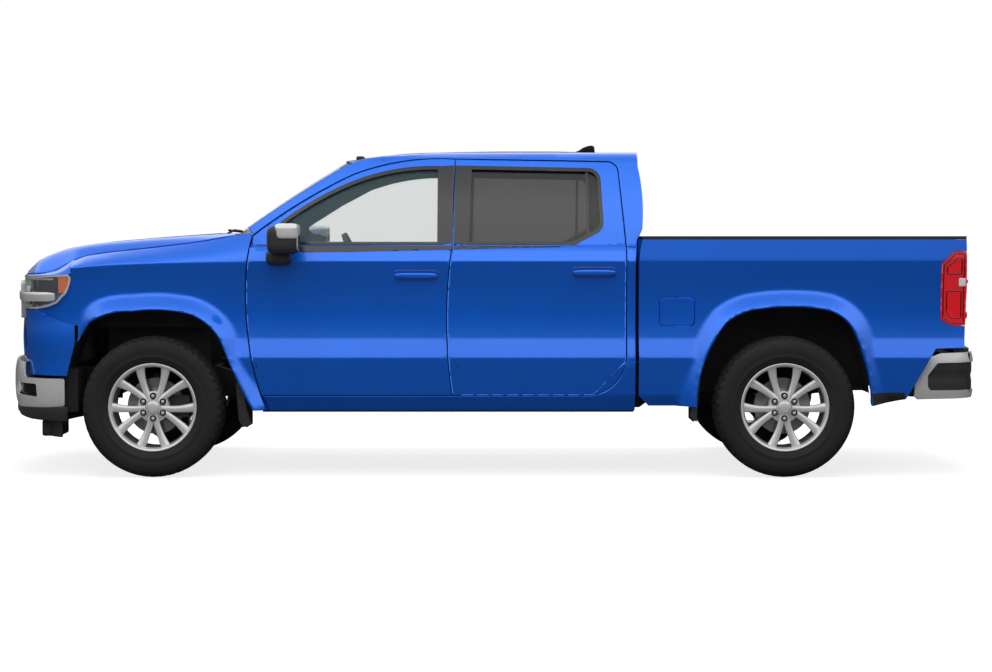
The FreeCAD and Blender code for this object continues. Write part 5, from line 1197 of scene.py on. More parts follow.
for axle_name, y in (("front", front_axle), ("rear", rear_axle)):
    for side, s in both:
        wheel = "%s_%s" % (axle_name, side)
        for name, parts, mat, slot_name, angle, node in (
                ("tyre_%s_rubber", tyre_parts, tyre_rubber, "tyre", 38, "tyre_" + wheel),
                ("spokes_%s", spoke_parts, alloy, "alloy", 50, "rim_" + wheel),
                ("rim_lip_%s", lip_parts, alloy, "alloy", 40, None),
                ("rim_barrel_%s", barrel_parts, barrel_metal, "alloy", 40, None),
                ("hub_%s", hub_parts, alloy, "alloy", 40, None),
                ("hub_cap_%s", cap_parts, alloy, "alloy", 50, None),
                ("brake_disc_%s", disc_parts, disc_steel, "steel", 35, None),
                ("lug_nuts_%s", nut_parts, chrome, "chrome", 35, None),
                ("nut_pockets_%s", pocket_parts, liner_felt, "black", 40, None)):
            tag(make(name % wheel, *placed(parts, y, s), mat, "wheel_" + wheel, angle), slot_name, node)


# ---------------------------------------------------------------- front end
def nose_curve(setback):
    """Plan line of the nose from the middle round the corner, set back from the very front."""
    tip = setback - length / 2
    corner_start, corner_middle, corner_end = (760.0, tip + 118), (925.0, tip + 208), (972.0, tip + 448)
    middle = arc_points((-corner_start[0], corner_start[1]), (0.0, tip), corner_start, 60)
    return Curve([p for p in middle if p[0] >= -1e-6]
                 + arc_points(corner_start, corner_middle, corner_end, 24)[1:])


bumper_line = nose_curve(0.0)
fascia_line = nose_curve(62.0)
grille_line = nose_curve(48.0)
lamp_line = nose_curve(70.0)


def rolled(low, high, depth):
    """Pulls a panel's lower and upper edges inwards."""
    mid, half = (low + high) / 2, (high - low) / 2
    return lambda s, z: -depth * abs((z - mid) / half) ** 3


def on_side(ring, way):
    """The ring on the left side, or mirrored to the right one and kept in its turning direction."""
    return ring if way > 0 else [(-u, v) for u, v in reversed(ring)]


def mirrored_holes(right):
    """The same opening on the left, where distances along the line are positive, and on the right."""
    return [outline([(way * q[0], *q[1:]) for q in right]) for _, way in both]


b = bumper_line
cut_a, cut_b = b.by_y(-2768.0), b.by_y(-2748.0)
bumper_ring = outline(mirrored_ring([(0.0, 414.0), (b.by_y(-2700.0), 414.0, 8.0), (b.length, 424.0, 14.0),
                                     (b.length, 588.0, 12.0), (cut_b, 594.0, 30.0), (cut_a, 688.0, 14.0),
                                     (0.0, 690.0)]))
fogs = mirrored_holes([(b.by_x(705), 500.0, 16.0), (b.by_x(725), 568.0, 12.0), (b.by_y(-2668.0), 558.0, 12.0),
                       (b.by_y(-2662.0), 480.0, 12.0)])
intake = outline([(-470.0, 474.0, 20.0), (470.0, 474.0, 20.0), (440.0, 585.0, 20.0), (-440.0, 585.0, 20.0)])
bumper = wrapped("bumper_front_shell", b, bumper_ring, [intake] + fogs, 26, -4.0, [chrome, black], 14, 4.0, 1,
                 rolled(412.0, 690.0, 16.0))
tag(bumper, "chrome", "front_bumper")


def lattice(name, line, half, z0, z1, out, across, up, radius):
    """Black grid of bars that follows the nose, behind an opening."""
    parts = []
    rows = int((z1 - z0) / up)
    count = int(2 * half / 40)
    for r in range(rows + 1):
        z = z0 + (z1 - z0) * r / rows
        path = [(*line.place(-half + 2 * half * i / count, out), z) for i in range(count + 1)]
        parts.append(tube(path, radius, 6))
    cols = int(2 * half / across)
    for c in range(cols + 1):
        x, y = line.place(-half + 2 * half * c / cols, out - 2)
        parts.append(tube([(x, y, z0), (x, y, z1)], radius, 6))
    merged(name, parts, black, "truck")


lattice("intake_grid", b, 470.0, 470.0, 588.0, -30.0, 34.0, 22.0, 3.2)
low_back = wrapped("intake_backing", b, grow(intake, 10.0), [], 40, -64.0, [liner_felt], 4, 0)
# Dark shelf behind the bumper's upper edge, stepping down at its corners
shelf_verts = []
for i in range(-60, 61):
    at = b.length * i / 60
    z = table(abs(at), [cut_a, cut_b], [682.0, 590.0])
    shelf_verts += [(*b.place(at, -18.0), z), (*b.place(at, -86.0), z + 2)]
shelf_faces = [(2 * i, 2 * i + 2, 2 * i + 3, 2 * i + 1) for i in range(120)]
make("bumper_shelf", shelf_verts, shelf_faces, black, "truck", 40)
for (side, sgn), hole in zip(both, fogs):
    cup = wrapped("fog_cup_" + side, b, grow(hole, 8.0), [], 24, -34.0, [gloss_black], 4, 0)
    x, y = b.place(sgn * b.by_x(770), -30.0)
    fog = turned([(0, on_axis), (0, 28), (10, 30), (14, 27), (18, 14), (19, on_axis)], (x, y, 526.0),
                 (0.45 * sgn, -1, 0), 40, False)
    make("fog_lamp_" + side, *fog, lamp_white, "truck", 50)

f = fascia_line
fascia_ring = outline(mirrored_ring([(0.0, 682.0), (f.by_x(880), 684.0), (f.by_y(-2735.0), 612.0, 20.0),
                                     (f.by_y(-2480.0), 606.0), (f.by_y(-2452.0), 723.0), (f.length, 800.0),
                                     (f.length, 905.0), (f.by_y(-2545.0), 946.0), (f.by_y(-2674.0), 992.0),
                                     (f.by_x(606), 994.0, 6.0), (f.by_x(600), 932.0, 6.0), (0.0, 932.0)]))
ducts = mirrored_holes([(f.by_x(700), 745.0, 14.0), (f.by_x(690), 880.0, 14.0), (f.by_x(820), 905.0, 14.0),
                        (f.by_x(850), 800.0, 14.0), (f.by_x(835), 742.0, 14.0)])
fascia = wrapped("fascia_shell", f, fascia_ring, ducts, 26, 0.0, [paint, black], 10, 3.0, 1,
                 lambda s, z: 6.0 * math.sin(clamp((z - 690) / 245) * math.pi))
tag(fascia, "paint", "front_fascia")
for (side, _), hole in zip(both, ducts):
    wrapped("fascia_duct_" + side, f, grow(hole, 8.0), [], 26, -26.0, [black], 4, 0)

g = grille_line
frame_ring = outline(mirrored_ring([(0.0, 936.0), (g.by_x(590), 936.0, 16.0), (g.by_x(598), 1050.0),
                                    (g.by_x(592), 1160.0, 16.0), (0.0, 1178.0)]))
surround = wrapped("grille_surround", g, frame_ring, [grow(frame_ring, -26.0)], 26, 4.0, [chrome], 40, 6.0)
tag(surround, "chrome", "grille")
lattice("grille_grid", g, 585.0, 945.0, 1168.0, -34.0, 38.0, 20.0, 4.0)
backing = wrapped("grille_backing", g, grow(frame_ring, -6.0), [], 40, -52.0, [liner_felt], 4, 0)
bar_line = nose_curve(46.0)
bar_end = bar_line.by_y(-2545.0)
# One wide bar that runs on round the lamps, and a slim one below and above it
for z0, z1, end, out in ((1046.0, 1100.0, bar_end, 12.0), (972.0, 988.0, g.by_x(586), 0.0),
                         (1128.0, 1140.0, g.by_x(586), 0.0)):
    ring = outline([(-end, z0 + 6, 5.0), (-end + 50, z0, 5.0), (end - 50, z0, 5.0), (end, z0 + 6, 5.0),
                    (end, z1 - 6, 5.0), (end - 40, z1, 5.0), (-end + 40, z1, 5.0), (-end, z1 - 6, 5.0)])
    bar = wrapped("grille_bar_%d" % int(z0), bar_line, ring, [], 24, out, [chrome], 26, 5.0, 0,
                  rolled(z0, z1, 5.0))

h = lamp_line
headlamp_ring = [(h.by_x(602), 1002.0), (h.by_y(-2673.0), 998.0), (h.by_y(-2594.0), 1012.0),
                   (h.by_y(-2536.0), 1034.0), (h.by_y(-2505.0), 1068.0), (h.by_y(-2480.0), 1090.0),
                   (h.by_y(-2460.0), 1134.0), (h.by_y(-2450.0), 1184.0), (h.by_y(-2466.0), 1208.0),
                   (h.by_y(-2700.0), 1194.0), (h.by_x(602), 1190.0)]
for side, sgn in both:
    ring = on_side(headlamp_ring, sgn)
    shell = wrapped("headlamp_lens_" + side, h, grow(ring, -2.0), [], 26, 3.0, [lens], 3, 0)
    tag(shell, "lamp", "headlamps")
    cup = wrapped("headlamp_cup_" + side, h, grow(ring, -3.0), [], 30, -34.0, [gloss_black], 4, 0)
    rim_piece = wrapped("headlamp_rim_" + side, h, grow(ring, -1.0), [grow(ring, -13.0)], 26, 1.0, [chrome],
                        30, 2.0)
    for k, (u0, u1, z0, z1, mat, slot_name) in enumerate((
            (h.by_y(-2528.0), h.by_y(-2466.0), 1096.0, 1194.0, lamp_amber, "lamp"),
            (h.by_x(622), h.by_x(850), 1012.0, 1024.0, lamp_white, "lamp"),
            (h.by_x(622), h.by_y(-2560.0), 1172.0, 1182.0, chrome, "chrome"))):
        u2 = u1 - 22.0 if k == 0 else u1
        part_ring = [(u0, z0), (u2, z0), (u1, z0 + (z1 - z0) * 0.35), (u1, z1), (u0, z1)]
        piece = wrapped("headlamp_part_%d_%s" % (k, side), h, on_side(part_ring, sgn), [], 22, -8.0, [mat],
                        10, 2.0)
    for k, where in enumerate((700.0, 830.0)):
        x, y = h.place(sgn * h.by_x(where), -30.0)
        bowl = turned([(0, on_axis), (2, 30), (20, 44), (24, 44), (22, 38), (6, 30), (14, 18), (19, on_axis)],
                      (x, y, 1140.0), (0.4 * sgn, -1, 0), 48, False)
        make("projector_%d_%s" % (k, side), *bowl, chrome, "truck", 40)


# ---------------------------------------------------------------- tail end
def bed_cover(name, ring, holes, step, out, mats, thickness, slot, edge=0.0, node=None):
    """Piece that lies on the load box's skin, on both sides."""
    for side, s in both:
        tag(side_panel(name % side, s, ring, holes, step, lambda y, z: bed_skin(y, z) + out, mats, "truck",
                       thickness, edge=edge), slot, node)


lamp_ring = outline([(lamp_front + 2, 940.0, 18.0), (lamp_front + 64, 904.0), (2836.0, 904.0, 10.0),
                     (2842.0, 1120.0), (2836.0, 1343.0, 10.0), (lamp_front + 76, 1343.0, 12.0),
                     (lamp_front + 2, 1270.0, 14.0)])
lamp_inner = outline([(lamp_front + 14, 952.0, 14.0), (lamp_front + 68, 918.0, 10.0), (2824.0, 918.0, 10.0),
                      (2824.0, 1330.0, 10.0), (lamp_front + 80, 1330.0, 10.0),
                      (lamp_front + 14, 1264.0, 12.0)])
lamp_low = outline([(lamp_front + 32, 1112.0, 8.0), (lamp_front + 32, 990.0, 8.0),
                    (lamp_front + 66, 946.0, 10.0), (2812.0, 946.0, 8.0), (2812.0, 1112.0, 8.0)])
lamp_high = outline([(lamp_front + 32, 1206.0, 8.0), (2812.0, 1206.0, 8.0), (2812.0, 1306.0, 8.0),
                     (lamp_front + 88, 1306.0, 10.0), (lamp_front + 32, 1252.0, 8.0)])
bed_cover("tail_lamp_%s", lamp_ring, [], 20, 1.5, [lamp_red], 16, "red", 4.0, "tail_lamps")
bed_cover("tail_lamp_rim_%s", grow(lamp_inner, 3.0), [grow(lamp_inner, -4.0)], 22, 2.6, [lamp_dark], 3, "red")
bed_cover("tail_lamp_frame_0_%s", lamp_low, [grow(lamp_low, -7.0)], 22, 2.8, [lamp_dark], 3, "red")
bed_cover("tail_lamp_frame_1_%s", lamp_high, [grow(lamp_high, -7.0)], 22, 2.8, [lamp_dark], 3, "red")
bed_cover("reverse_lamp_%s", rounded(2814.0, 1160.0, 20.0, 24.0, 6.0), [], 14, 2.9, [lamp_white], 3, "lamp")

# Plan line of the rear bumper from the middle round the corner
rear_middle = arc_points((-760.0, 2918.0), (0.0, 2941.0), (760.0, 2918.0), 60)
rear_corner = arc_points((760.0, 2918.0), (905.0, 2880.0), (950.0, 2800.0), 20)
rb = Curve([p for p in rear_middle if p[0] >= -1e-6] + rear_corner[1:] + [(950.0, 2700.0), (948.0, 2540.0)])
rear_ring = outline(mirrored_ring([(0.0, 476.0), (rb.by_y(2900.0), 472.0), (rb.by_y(2560.0), 462.0, 12.0),
                                   (rb.length - 3, 478.0, 10.0), (rb.by_y(2550.0), 610.0, 20.0),
                                   (rb.by_y(2634.0), 714.0, 20.0), (rb.by_y(2700.0), 738.0, 20.0),
                                   (rb.by_y(2870.0), 744.0), (0.0, 744.0)]))
steps = mirrored_holes([(rb.by_y(2622.0), 540.0, 16.0), (rb.by_y(2640.0), 516.0, 14.0),
                        (rb.by_x(700.0), 520.0, 14.0), (rb.by_x(690.0), 690.0, 14.0),
                        (rb.by_y(2680.0), 680.0, 16.0), (rb.by_y(2622.0), 606.0, 16.0)])
plate_hole = outline([(-250.0, 530.0, 20.0), (250.0, 530.0, 20.0), (270.0, 690.0, 20.0),
                      (-270.0, 690.0, 20.0)])
rear = wrapped("bumper_rear_shell", rb, rear_ring, steps + [plate_hole], 26, -2.0, [chrome, black],
               16, 5.0, 1, rolled(466.0, 744.0, 14.0))
tag(rear, "chrome", "rear_bumper")
for (side, _), hole in zip(both, steps):
    insert = wrapped("bumper_step_" + side, rb, grow(hole, 6.0), [], 26, -14.0, [black], 8, 2.0, 0,
                     lambda s, z: -6.0 if 596.0 < z < 616.0 else 0.0)
recess = wrapped("plate_recess", rb, grow(plate_hole, 6.0), [], 40, -44.0, [black], 6, 0)

gate_ring = outline([(-770.0, 850.0, 12.0), (770.0, 850.0, 12.0), (770.0, 1428.0, 10.0),
                     (-770.0, 1428.0, 10.0)])
gate_face = panel("tailgate_face", gate_ring, [rounded(0.0, 1326.0, 110.0, 36.0, 24.0)], 30,
                  lambda x, z: (x, bed_rear - 10 * smooth((abs(z - 1140) - 150) / 40)
                                - 8 * smooth((abs(x) - 690) / 50), z),
                  [paint], "tailgate", 50, edge=4.0, flip=True)
tag(gate_face, "paint", "tailgate")

# Plain blocks with rounded edges: name, from and to along x, y and z, finish, body, slot and edge radius
for name, x0, x1, y0, y1, z0, z1, mat, body, slot_name, edge in (
        ("rear_bumper_beam", -900.0, 900.0, 2700.0, 2884.0, 500.0, 742.0, steel, "truck", "chrome", 12.0),
        ("tailgate_inner_cover", -130.0, 130.0, 2774.0, 2783.0, 1272.0, 1380.0, paint, "tailgate", "paint",
         3.0),
        ("tailgate_handle", -96.0, 96.0, 2806.0, 2826.0, 1300.0, 1340.0, black, "tailgate", "black", 7.0),
        ("tailgate_handle_cup", -112.0, 112.0, 2784.0, 2802.0, 1288.0, 1364.0, black, "tailgate", "black",
         4.0),
        ("roof_marker", -60.0, 60.0, -822.0, -772.0, 1890.0, 1937.0, black, "truck", "black", 10.0)):
    block(name, x0, x1, y0, y1, z0, z1, [mat], body, edge)

# The same on both sides of the truck, with x counted outwards, and the number of steps round an edge
for name, x0, x1, y0, y1, z0, z1, mat, slot_name, edge, segments in (
        ("tail_lamp_heart", 868.0, 964.0, 2746.0, 2839.0, 912.0, 1338.0, lamp_red, "red", 9.0, 4),
        ("bed_post", 780.0, 866.0, 2742.0, 2836.0, 780.0, 1410.0, paint, "paint", 4.0, 3),
        ("bed_post_top", 860.0, 968.0, 2742.0, 2835.0, 1347.0, 1410.0, paint, "paint", 4.0, 3),
        ("bed_post_low", 860.0, 962.0, 2742.0, 2828.0, 778.0, 900.0, paint, "paint", 4.0, 3),
        ("bed_post_plate", 780.0, 932.0, 2733.0, 2742.0, 874.0, 1408.0, paint, "paint", 2.0, 3),
        ("tail_lamp_cover", 922.0, 930.0, 2676.0, 2736.0, 874.0, 1400.0, paint, "paint", 2.0, 3),
        ("sill_strip", 866.0, 902.0, -1330.0, 880.0, 386.0, 402.0, black, "black", 4.0, 3),
        ("splash_panel", 640.0, 905.0, -2545.0, -2426.0, 384.0, 640.0, liner_felt, "black", 8.0, 3),
        ("rocker_end", 868.0, 900.0, -1324.0, -1276.0, 400.0, 486.0, paint, "paint", 3.0, 3),
        ("air_dam_end", 620.0, 860.0, -2655.0, -2537.0, 238.0, 336.0, black, "black", 14.0, 3)):
    for side, s in both:
        piece = block(name + "_" + side, s * x0, s * x1, y0, y1, z0, z1, [mat], "truck", edge, segments)
        tag(piece, slot_name, "air_dam" if name == "air_dam_end" else None)


# ---------------------------------------------------------------- trim of the sides
def flank(name, ring, out, skin, body, thick, step=24, edge=1.5):
    """Dark trim that lies on the cab's side."""
    for side, s in both:
        piece = side_panel(name + "_" + side, s, ring, [], step, lambda y, z: skin(y, z) + out, [gloss_black],
                           body + "_" + side, thick, edge=edge)


def below_belt(y, z):
    """The cab's side below the belt, which is the same all along it."""
    return cab_lower(z)


flank("pillar_cover_front", outline([(-288.0, 1388.0), (-197.0, 1388.0), (-191.0, 1856.0), (-288.0, 1850.0)]),
      3.2, window_skin, "door_front", 6)
flank("pillar_cover_rear", outline([(-190.0, 1388.0), (-98.0, 1388.0), (-84.0, 1850.0), (-183.0, 1856.0)]),
      3.2, window_skin, "door_rear", 6)
flank("window_divider", outline([(596.0, 1384.0), (612.0, 1384.0), (610.0, 1836.0), (594.0, 1836.0)]),
      -6.0, cab_skin, "door_rear", 8)
flank("belt_strip_front", [(-1172.0, 1336.0), (-807.0, 1339.0), (-196.0, 1354.0), (-196.0, 1374.0),
                           (-1172.0, 1374.0)],
      2.2, below_belt, "door_front", 12, edge=1.0)
flank("belt_strip_rear", [(-190.0, 1354.0), (381.0, 1367.0), (440.0, 1374.0), (-190.0, 1374.0)],
      2.2, below_belt, "door_rear", 12, edge=1.0)

# Doors: handle and arm rest at their places along and up the door, and the card that covers the inside
for side, s in both:
    for kind, ring, y, z, rest_y in (("front", front_door, -412.0, 1199.0, -780.0),
                                     ("rear", rear_door, 640.0, 1217.0, 330.0)):
        body = "door_%s_%s" % (kind, side)
        ending = "_%s_%s" % (kind, side)
        x = cab_lower(z)
        grip = pad_mesh((s * (x + 24), y, z), (9.0, 125.0, 17.0), 3.2, 14, 0.0)
        make("handle" + ending, *grip, paint, body)
        posts = [pad_mesh((s * (x + 8), y + along, z), (22.0, 20.0, 14.0), 3.5, 8, 0.0)
                 for along in (-104.0, 100.0)]
        merged("handle_posts" + ending, posts, paint, body)
        # Thin sheet in the darker copy of the paint behind the grip: painted shade of the handle's recess
        bowl = side_panel("handle_recess_shade" + ending, s, rounded(y, z + 2, 132.0, 32.0, 28.0), [], 16,
                          lambda y, z: cab_lower(z) + 1.6, [shaded_inner_paint], body, 2, edge=0)
        card = [(u, min(v, 1384.0)) for u, v in grow(ring, -26.0)]
        apart = [q for i, q in enumerate(card) if math.dist(q, card[i - 1]) > 4.0]
        side_panel("door_card" + ending, s, apart, [], 40, lambda y, z: cab_lower(z) - 50,
                           [inner_trim], body, 40, edge=6.0)
        rest = pad_mesh((s * 862.0, rest_y, 1110.0), (34.0, 250.0, 34.0), 4.0, 12, 0.0)
        make("arm_rest" + ending, *rest, inner_trim, body)

# Mirrors: middle, half sizes, squareness, steps and pull of each part
for side, s in both:
    for name, x, y, z, half, power, n, pull, mat, slot_name, node in (
            ("housing", 1140.0, -1178.0, 1410.0, (94.0, 96.0, 84.0), 4.4, 20, 0.02, black, "black",
             "mirror_" + side),
            ("cap", 1143.0, -1156.0, 1456.0, (94.5, 72.0, 50.0), 4.6, 20, 0.0, chrome, "chrome", None),
            ("arm", 1036.0, -1216.0, 1306.0, (100.0, 74.0, 48.0), 3.6, 16, 0.0, black, "black", None),
            ("glass", 1141.0, -1092.0, 1410.0, (80.0, 4.0, 62.0), 5.0, 12, 0.0, chrome, "glass", None)):
        pad = pad_mesh((s * x, y, z), half, power, n, pull)
        tag(make("mirror_%s_%s" % (name, side), *pad, mat, "door_front_" + side), slot_name, node)

# Rear wheel wells: a band that follows the arch, closed on its inner side
for side, s in both:
    well_ring = [q for q in grow(arch_rear, 3.0) if q[1] > 480.0]
    start = min(range(len(well_ring)), key=lambda i: well_ring[i][0] if well_ring[i][1] < 560 else 1e9)
    well_ring = well_ring[start:] + well_ring[:start]
    n = len(well_ring)
    verts = [(s * x, y, z) for y, z in well_ring for x in (668.0, 918.0)]
    faces = [(2 * i, 2 * i + 1, 2 * i + 3, 2 * i + 2) for i in range(n - 1)
             if math.dist(well_ring[i + 1], well_ring[i]) < 200]
    verts += [(s * 668.0, y, z) for y, z in well_ring]
    faces.append(tuple(range(2 * n, 3 * n)))
    make("rear_wheel_liner_" + side, verts, faces, liner_felt, "truck", 40)


def front_edge(z):
    """Front edge of the front door at a height."""
    found = []
    for a, b in zip(front_door, front_door[1:] + front_door[:1]):
        if a[1] != b[1] and min(a[1], b[1]) <= z <= max(a[1], b[1]):
            found.append(a[0] + (b[0] - a[0]) * (z - a[1]) / (b[1] - a[1]))
    return min(found)


guard_ring = outline([(2288.0, 432.0), (2488.0, 466.0, 6.0), (2482.0, 506.0, 6.0), (2274.0, 506.0)])
for side, s in both:
    ledge = []
    for i in range(31):
        y = -1500.0 + (fender_nose + 1500.0) * i / 30
        for inwards, down in ((-1, 3), (30, 9), (62, 16), (70, 80)):
            ledge.append((s * (fender_top(y) - inwards), y, seam(y) - down))
    # The ledge takes the darker copy of the paint, which paints its shade under the hood's edge
    flange = make("fender_ledge_" + side, ledge, grid_faces(30, 3), shaded_inner_paint, "truck", 40)
    for name, ring, outer in (
            ("mud_flap_front_", [(-1480.0, 566.0), (-1440.0, 560.0), (-1414.0, 406.0), (-1388.0, 316.0),
                                 (-1440.0, 300.0), (-1464.0, 346.0)], 984.0),
            ("mud_flap_rear_", [(1245.0, 599.0), (1268.0, 592.0), (1254.0, 460.0), (1247.0, 333.0),
                                (1210.0, 360.0), (1222.0, 493.0)], 1000.0)):
        flap = prism_x(outline(ring), *sorted((s * 900.0, s * outer)))
        merged(name + side, [flap], black, "truck", 3.0)
    guard = side_panel("bed_guard_" + side, s, guard_ring, [], 16, lambda y, z: bed_skin_flared(y, z) + 2.5,
                       [black], "truck", 5, edge=1.5)
    levels = [492.0 + 49.0 * k for k in range(17)]
    band = [(front_edge(z) - 5, z) for z in levels] + [(front_edge(z) - 56, z) for z in reversed(levels)]
    stop = side_panel("fender_backing_" + side, s, band, [], 30, lambda y, z: cab_lower(z) - 58,
                      [liner_felt], "truck", 16, edge=0)

dam = nose_curve(18.0)
valance_ring = outline(mirrored_ring([(0.0, 376.0), (dam.by_x(790), 376.0), (dam.by_y(-2706.0), 348.0),
                                      (dam.by_y(-2540.0), 334.0), (dam.length, 332.0), (dam.length, 420.0),
                                      (0.0, 424.0)]))
valance = wrapped("air_dam_valance", dam, valance_ring, [], 26, 0.0, [black], 14, 4.0, 0,
                  rolled(330.0, 470.0, 8.0))
tag(valance, "black", "air_dam")
lip_line = nose_curve(190.0)
lip_end = lip_line.by_y(-2520.0)
lip_ring = outline(mirrored_ring([(0.0, 262.0), (lip_line.by_x(780), 240.0), (lip_end, 238.0),
                                  (lip_end, 384.0), (0.0, 384.0)]))
lip = wrapped("air_dam_lip", lip_line, lip_ring, [], 30, 0.0, [black], 12, 3.0)
tag(lip, "black", "air_dam")

def part_way(points, i, t):
    """Place between one listed point and the next."""
    return [a + (b - a) * t for a, b in zip(points[i], points[i + 1])]


# Painted brow between the hood's front edge and the lamps
brow_verts = []
brow_line = nose_curve(66.0)
hood_front = [(868.0, fender_nose), (840.0, -2530.0), (808.0, -2600.0), (768.0, -2706.0), (668.0, -2766.0),
              (560.0, -2804.0), (280.0, -2836.0), (0.0, -2848.0)]
lamp_top = [(brow_line.length - 2, 1212.0), (brow_line.by_y(-2500.0), 1206.0),
            (brow_line.by_y(-2580.0), 1203.0), (brow_line.by_y(-2700.0), 1197.0),
            (brow_line.by_x(720), 1190.0), (brow_line.by_x(600), 1186.0),
            (brow_line.by_x(300), 1182.0), (0.0, 1180.0)]
stations = []
for i in range(len(hood_front) - 1):
    for k in range(6 if i < len(hood_front) - 2 else 7):
        t = k / 6
        hx, hy = part_way(hood_front, i, t)
        u, lz = part_way(lamp_top, i, t)
        stations.append(((hx, hy, hood_z(hx * 0.99, hy) - 3), (*brow_line.place(u, 0.0), lz)))
stations += [((-a[0], a[1], a[2]), (-q[0], q[1], q[2])) for a, q in reversed(stations[:-1])]
cols = 10
for a, q in stations:
    a, q = Vector(a), Vector(q)
    fold = Vector((q.x, q.y, a.z - (a.z - q.z) * 0.12)).lerp(a, 0.22)
    for k in range(cols + 1):
        t = k / cols
        brow_verts.append(tuple(a * (1 - t) ** 2 + fold * (2 * t * (1 - t)) + q * t ** 2))
brow_faces = [(a, d, c, b) for a, b, c, d in grid_faces(len(stations) - 1, cols)]
brow = make("nose_brow", brow_verts, brow_faces, [paint, shaded_inner_paint], "truck", 50)
solidify(brow, 10, 1)
bevel(brow, 2.5)


# ---------------------------------------------------------------- cabin
def cushion(name, node, pad):
    """Padded piece of a seat."""
    piece = make(name, *pad, fabric, "truck")
    tag(piece, "fabric", node)


def seat_back(name, side_x, width, y, low, high, lean, headrests):
    """Back of a seat with its head restraints and their posts."""
    half = (width / 2, 74.0, (high - low) / 2)
    cushion(name + "_back", "seat_backs",
            pad_mesh((side_x, y + 12, (low + high) / 2), half, 4.6, 26, 0.05, tilt=-lean))
    for dx in headrests:
        x = side_x + dx
        cushion("%s_head_%d" % (name, int(dx)), "seat_backs",
                pad_mesh((x, y + 78, high + 92), (128.0, 48.0, 84.0), 3.6, 18, 0.03, tilt=-6))
        posts = [tube([(x + k, y + 66, high - 20), (x + k, y + 72, high + 60)], 6.5, 10) for k in (-55, 55)]
        merged("%s_posts_%d" % (name, int(dx)), posts, chrome, "truck")


for side, s in both:
    cushion("front_cushion_" + side, "seat_cushions",
            pad_mesh((s * 400.0, -606.0, 842.0), (264.0, 268.0, 82.0), 4.4, 26, 0.04,
                     ((0, -0.62), (0, 0.62), (1, -0.25)), 3.0, 10.0))
    seat_back("front_seat_" + side, s * 400.0, 520.0, -268.0, 775.0, 1450.0, 8.0, (0.0,))
cushion("rear_cushion", "seat_cushions",
        pad_mesh((0.0, 325.0, 842.0), (736.0, 266.0, 82.0), 5.0, 40, 0.02, ((0, -0.34), (0, 0.34)), 2.0, 8.0))
seat_back("rear_seat", 0.0, 1476.0, 680.0, 775.0, 1440.0, 6.0, (-450.0, 0.0, 450.0))

lining = make("headliner", *roof_grid(), [trim_fabric], "truck")
for point in lining.data.vertices:
    point.co.z -= 34 * MM
    point.co.x *= 0.985
wipers = merged("wipers", [tube([(-560.0, -1530.0, 1450.0), (-200.0, -1625.0, 1466.0),
                                 (180.0, -1612.0, 1470.0)], 7.0, 8),
                           tube([(40.0, -1640.0, 1448.0), (330.0, -1560.0, 1470.0),
                                 (640.0, -1478.0, 1462.0)], 7.0, 8)],
                black, "truck")


# ---------------------------------------------------------------- finishes of the carried-over nodes
# Painted nodes not listed below take the darker copy of the paint, which is painted shade
by_slot = {"paint": shaded_inner_paint, "chrome": chrome, "steel": steel, "iron": iron, "aluminium": aluminium,
           "alloy": alloy, "black": black, "rubber": rubber, "tyre": tyre_rubber, "fabric": fabric,
           "glass": clear, "lamp": lamp_white, "red": lamp_red}
# A much darker copy of the body paint for the solid side frames round the doors: painted shade in the door
# gaps
jamb = material("paint_jamb_shaded", (0.001, 0.022, 0.13), 0.6, bump=0.03, grain=400, spec=0.2)
own = {"cab_side_frames": jamb, "cab_rear_wall": paint, "load_bed": paint, "roof": paint,
       "front_fascia": paint, "tailgate": paint, "wheel_liners": liner_felt, "dashboard": inner_trim,
       "steering_wheel": inner_trim, "cab_floor": liner_felt, "hood": paint, "dampers": chrome}
for entry in frame["record"]["subparts"]:
    node = frame["nodes"][entry["node"]]
    finish = own.get(entry["node"], by_slot[entry["material_slot"]])
    for place in node.material_slots:
        place.link = "OBJECT"
        place.material = finish


# ---------------------------------------------------------------- studio
def lamp(name, where, aim, size_x, size_y, power):
    light = bpy.data.lights.new(name, "AREA")
    light.shape = "RECTANGLE"
    light.size = size_x
    light.size_y = size_y
    light.energy = power
    obj = bpy.data.objects.new(name, light)
    obj.location = where
    obj.rotation_euler = (Vector(aim) - Vector(where)).to_track_quat("-Z", "Y").to_euler()
    bpy.context.scene.collection.objects.link(obj)
    return obj


for light in (lamp("overhead", (1.5, 0.0, 7.0), (0.2, 0.0, 0.9), 7.0, 12.0, 470),
              lamp("camera_side", (10.0, -2.5, 4.0), (0.0, 0.0, 0.9), 8.0, 3.5, 130),
              lamp("far_side", (-7.0, 0.0, 4.5), (0.0, 0.0, 1.0), 8.0, 3.0, 150)):
    light.visible_glossy = False

world = bpy.data.worlds.new("studio")
bpy.context.scene.world = world
world.use_nodes = True
wn, wl = world.node_tree.nodes, world.node_tree.links
back = wn["Background"]
back.inputs["Color"].default_value = (1, 1, 1, 1)
path = wn.new("ShaderNodeLightPath")
seen = wn.new("ShaderNodeMath")
seen.operation = "MAXIMUM"
wl.new(path.outputs["Is Camera Ray"], seen.inputs[0])
wl.new(path.outputs["Is Transmission Ray"], seen.inputs[1])
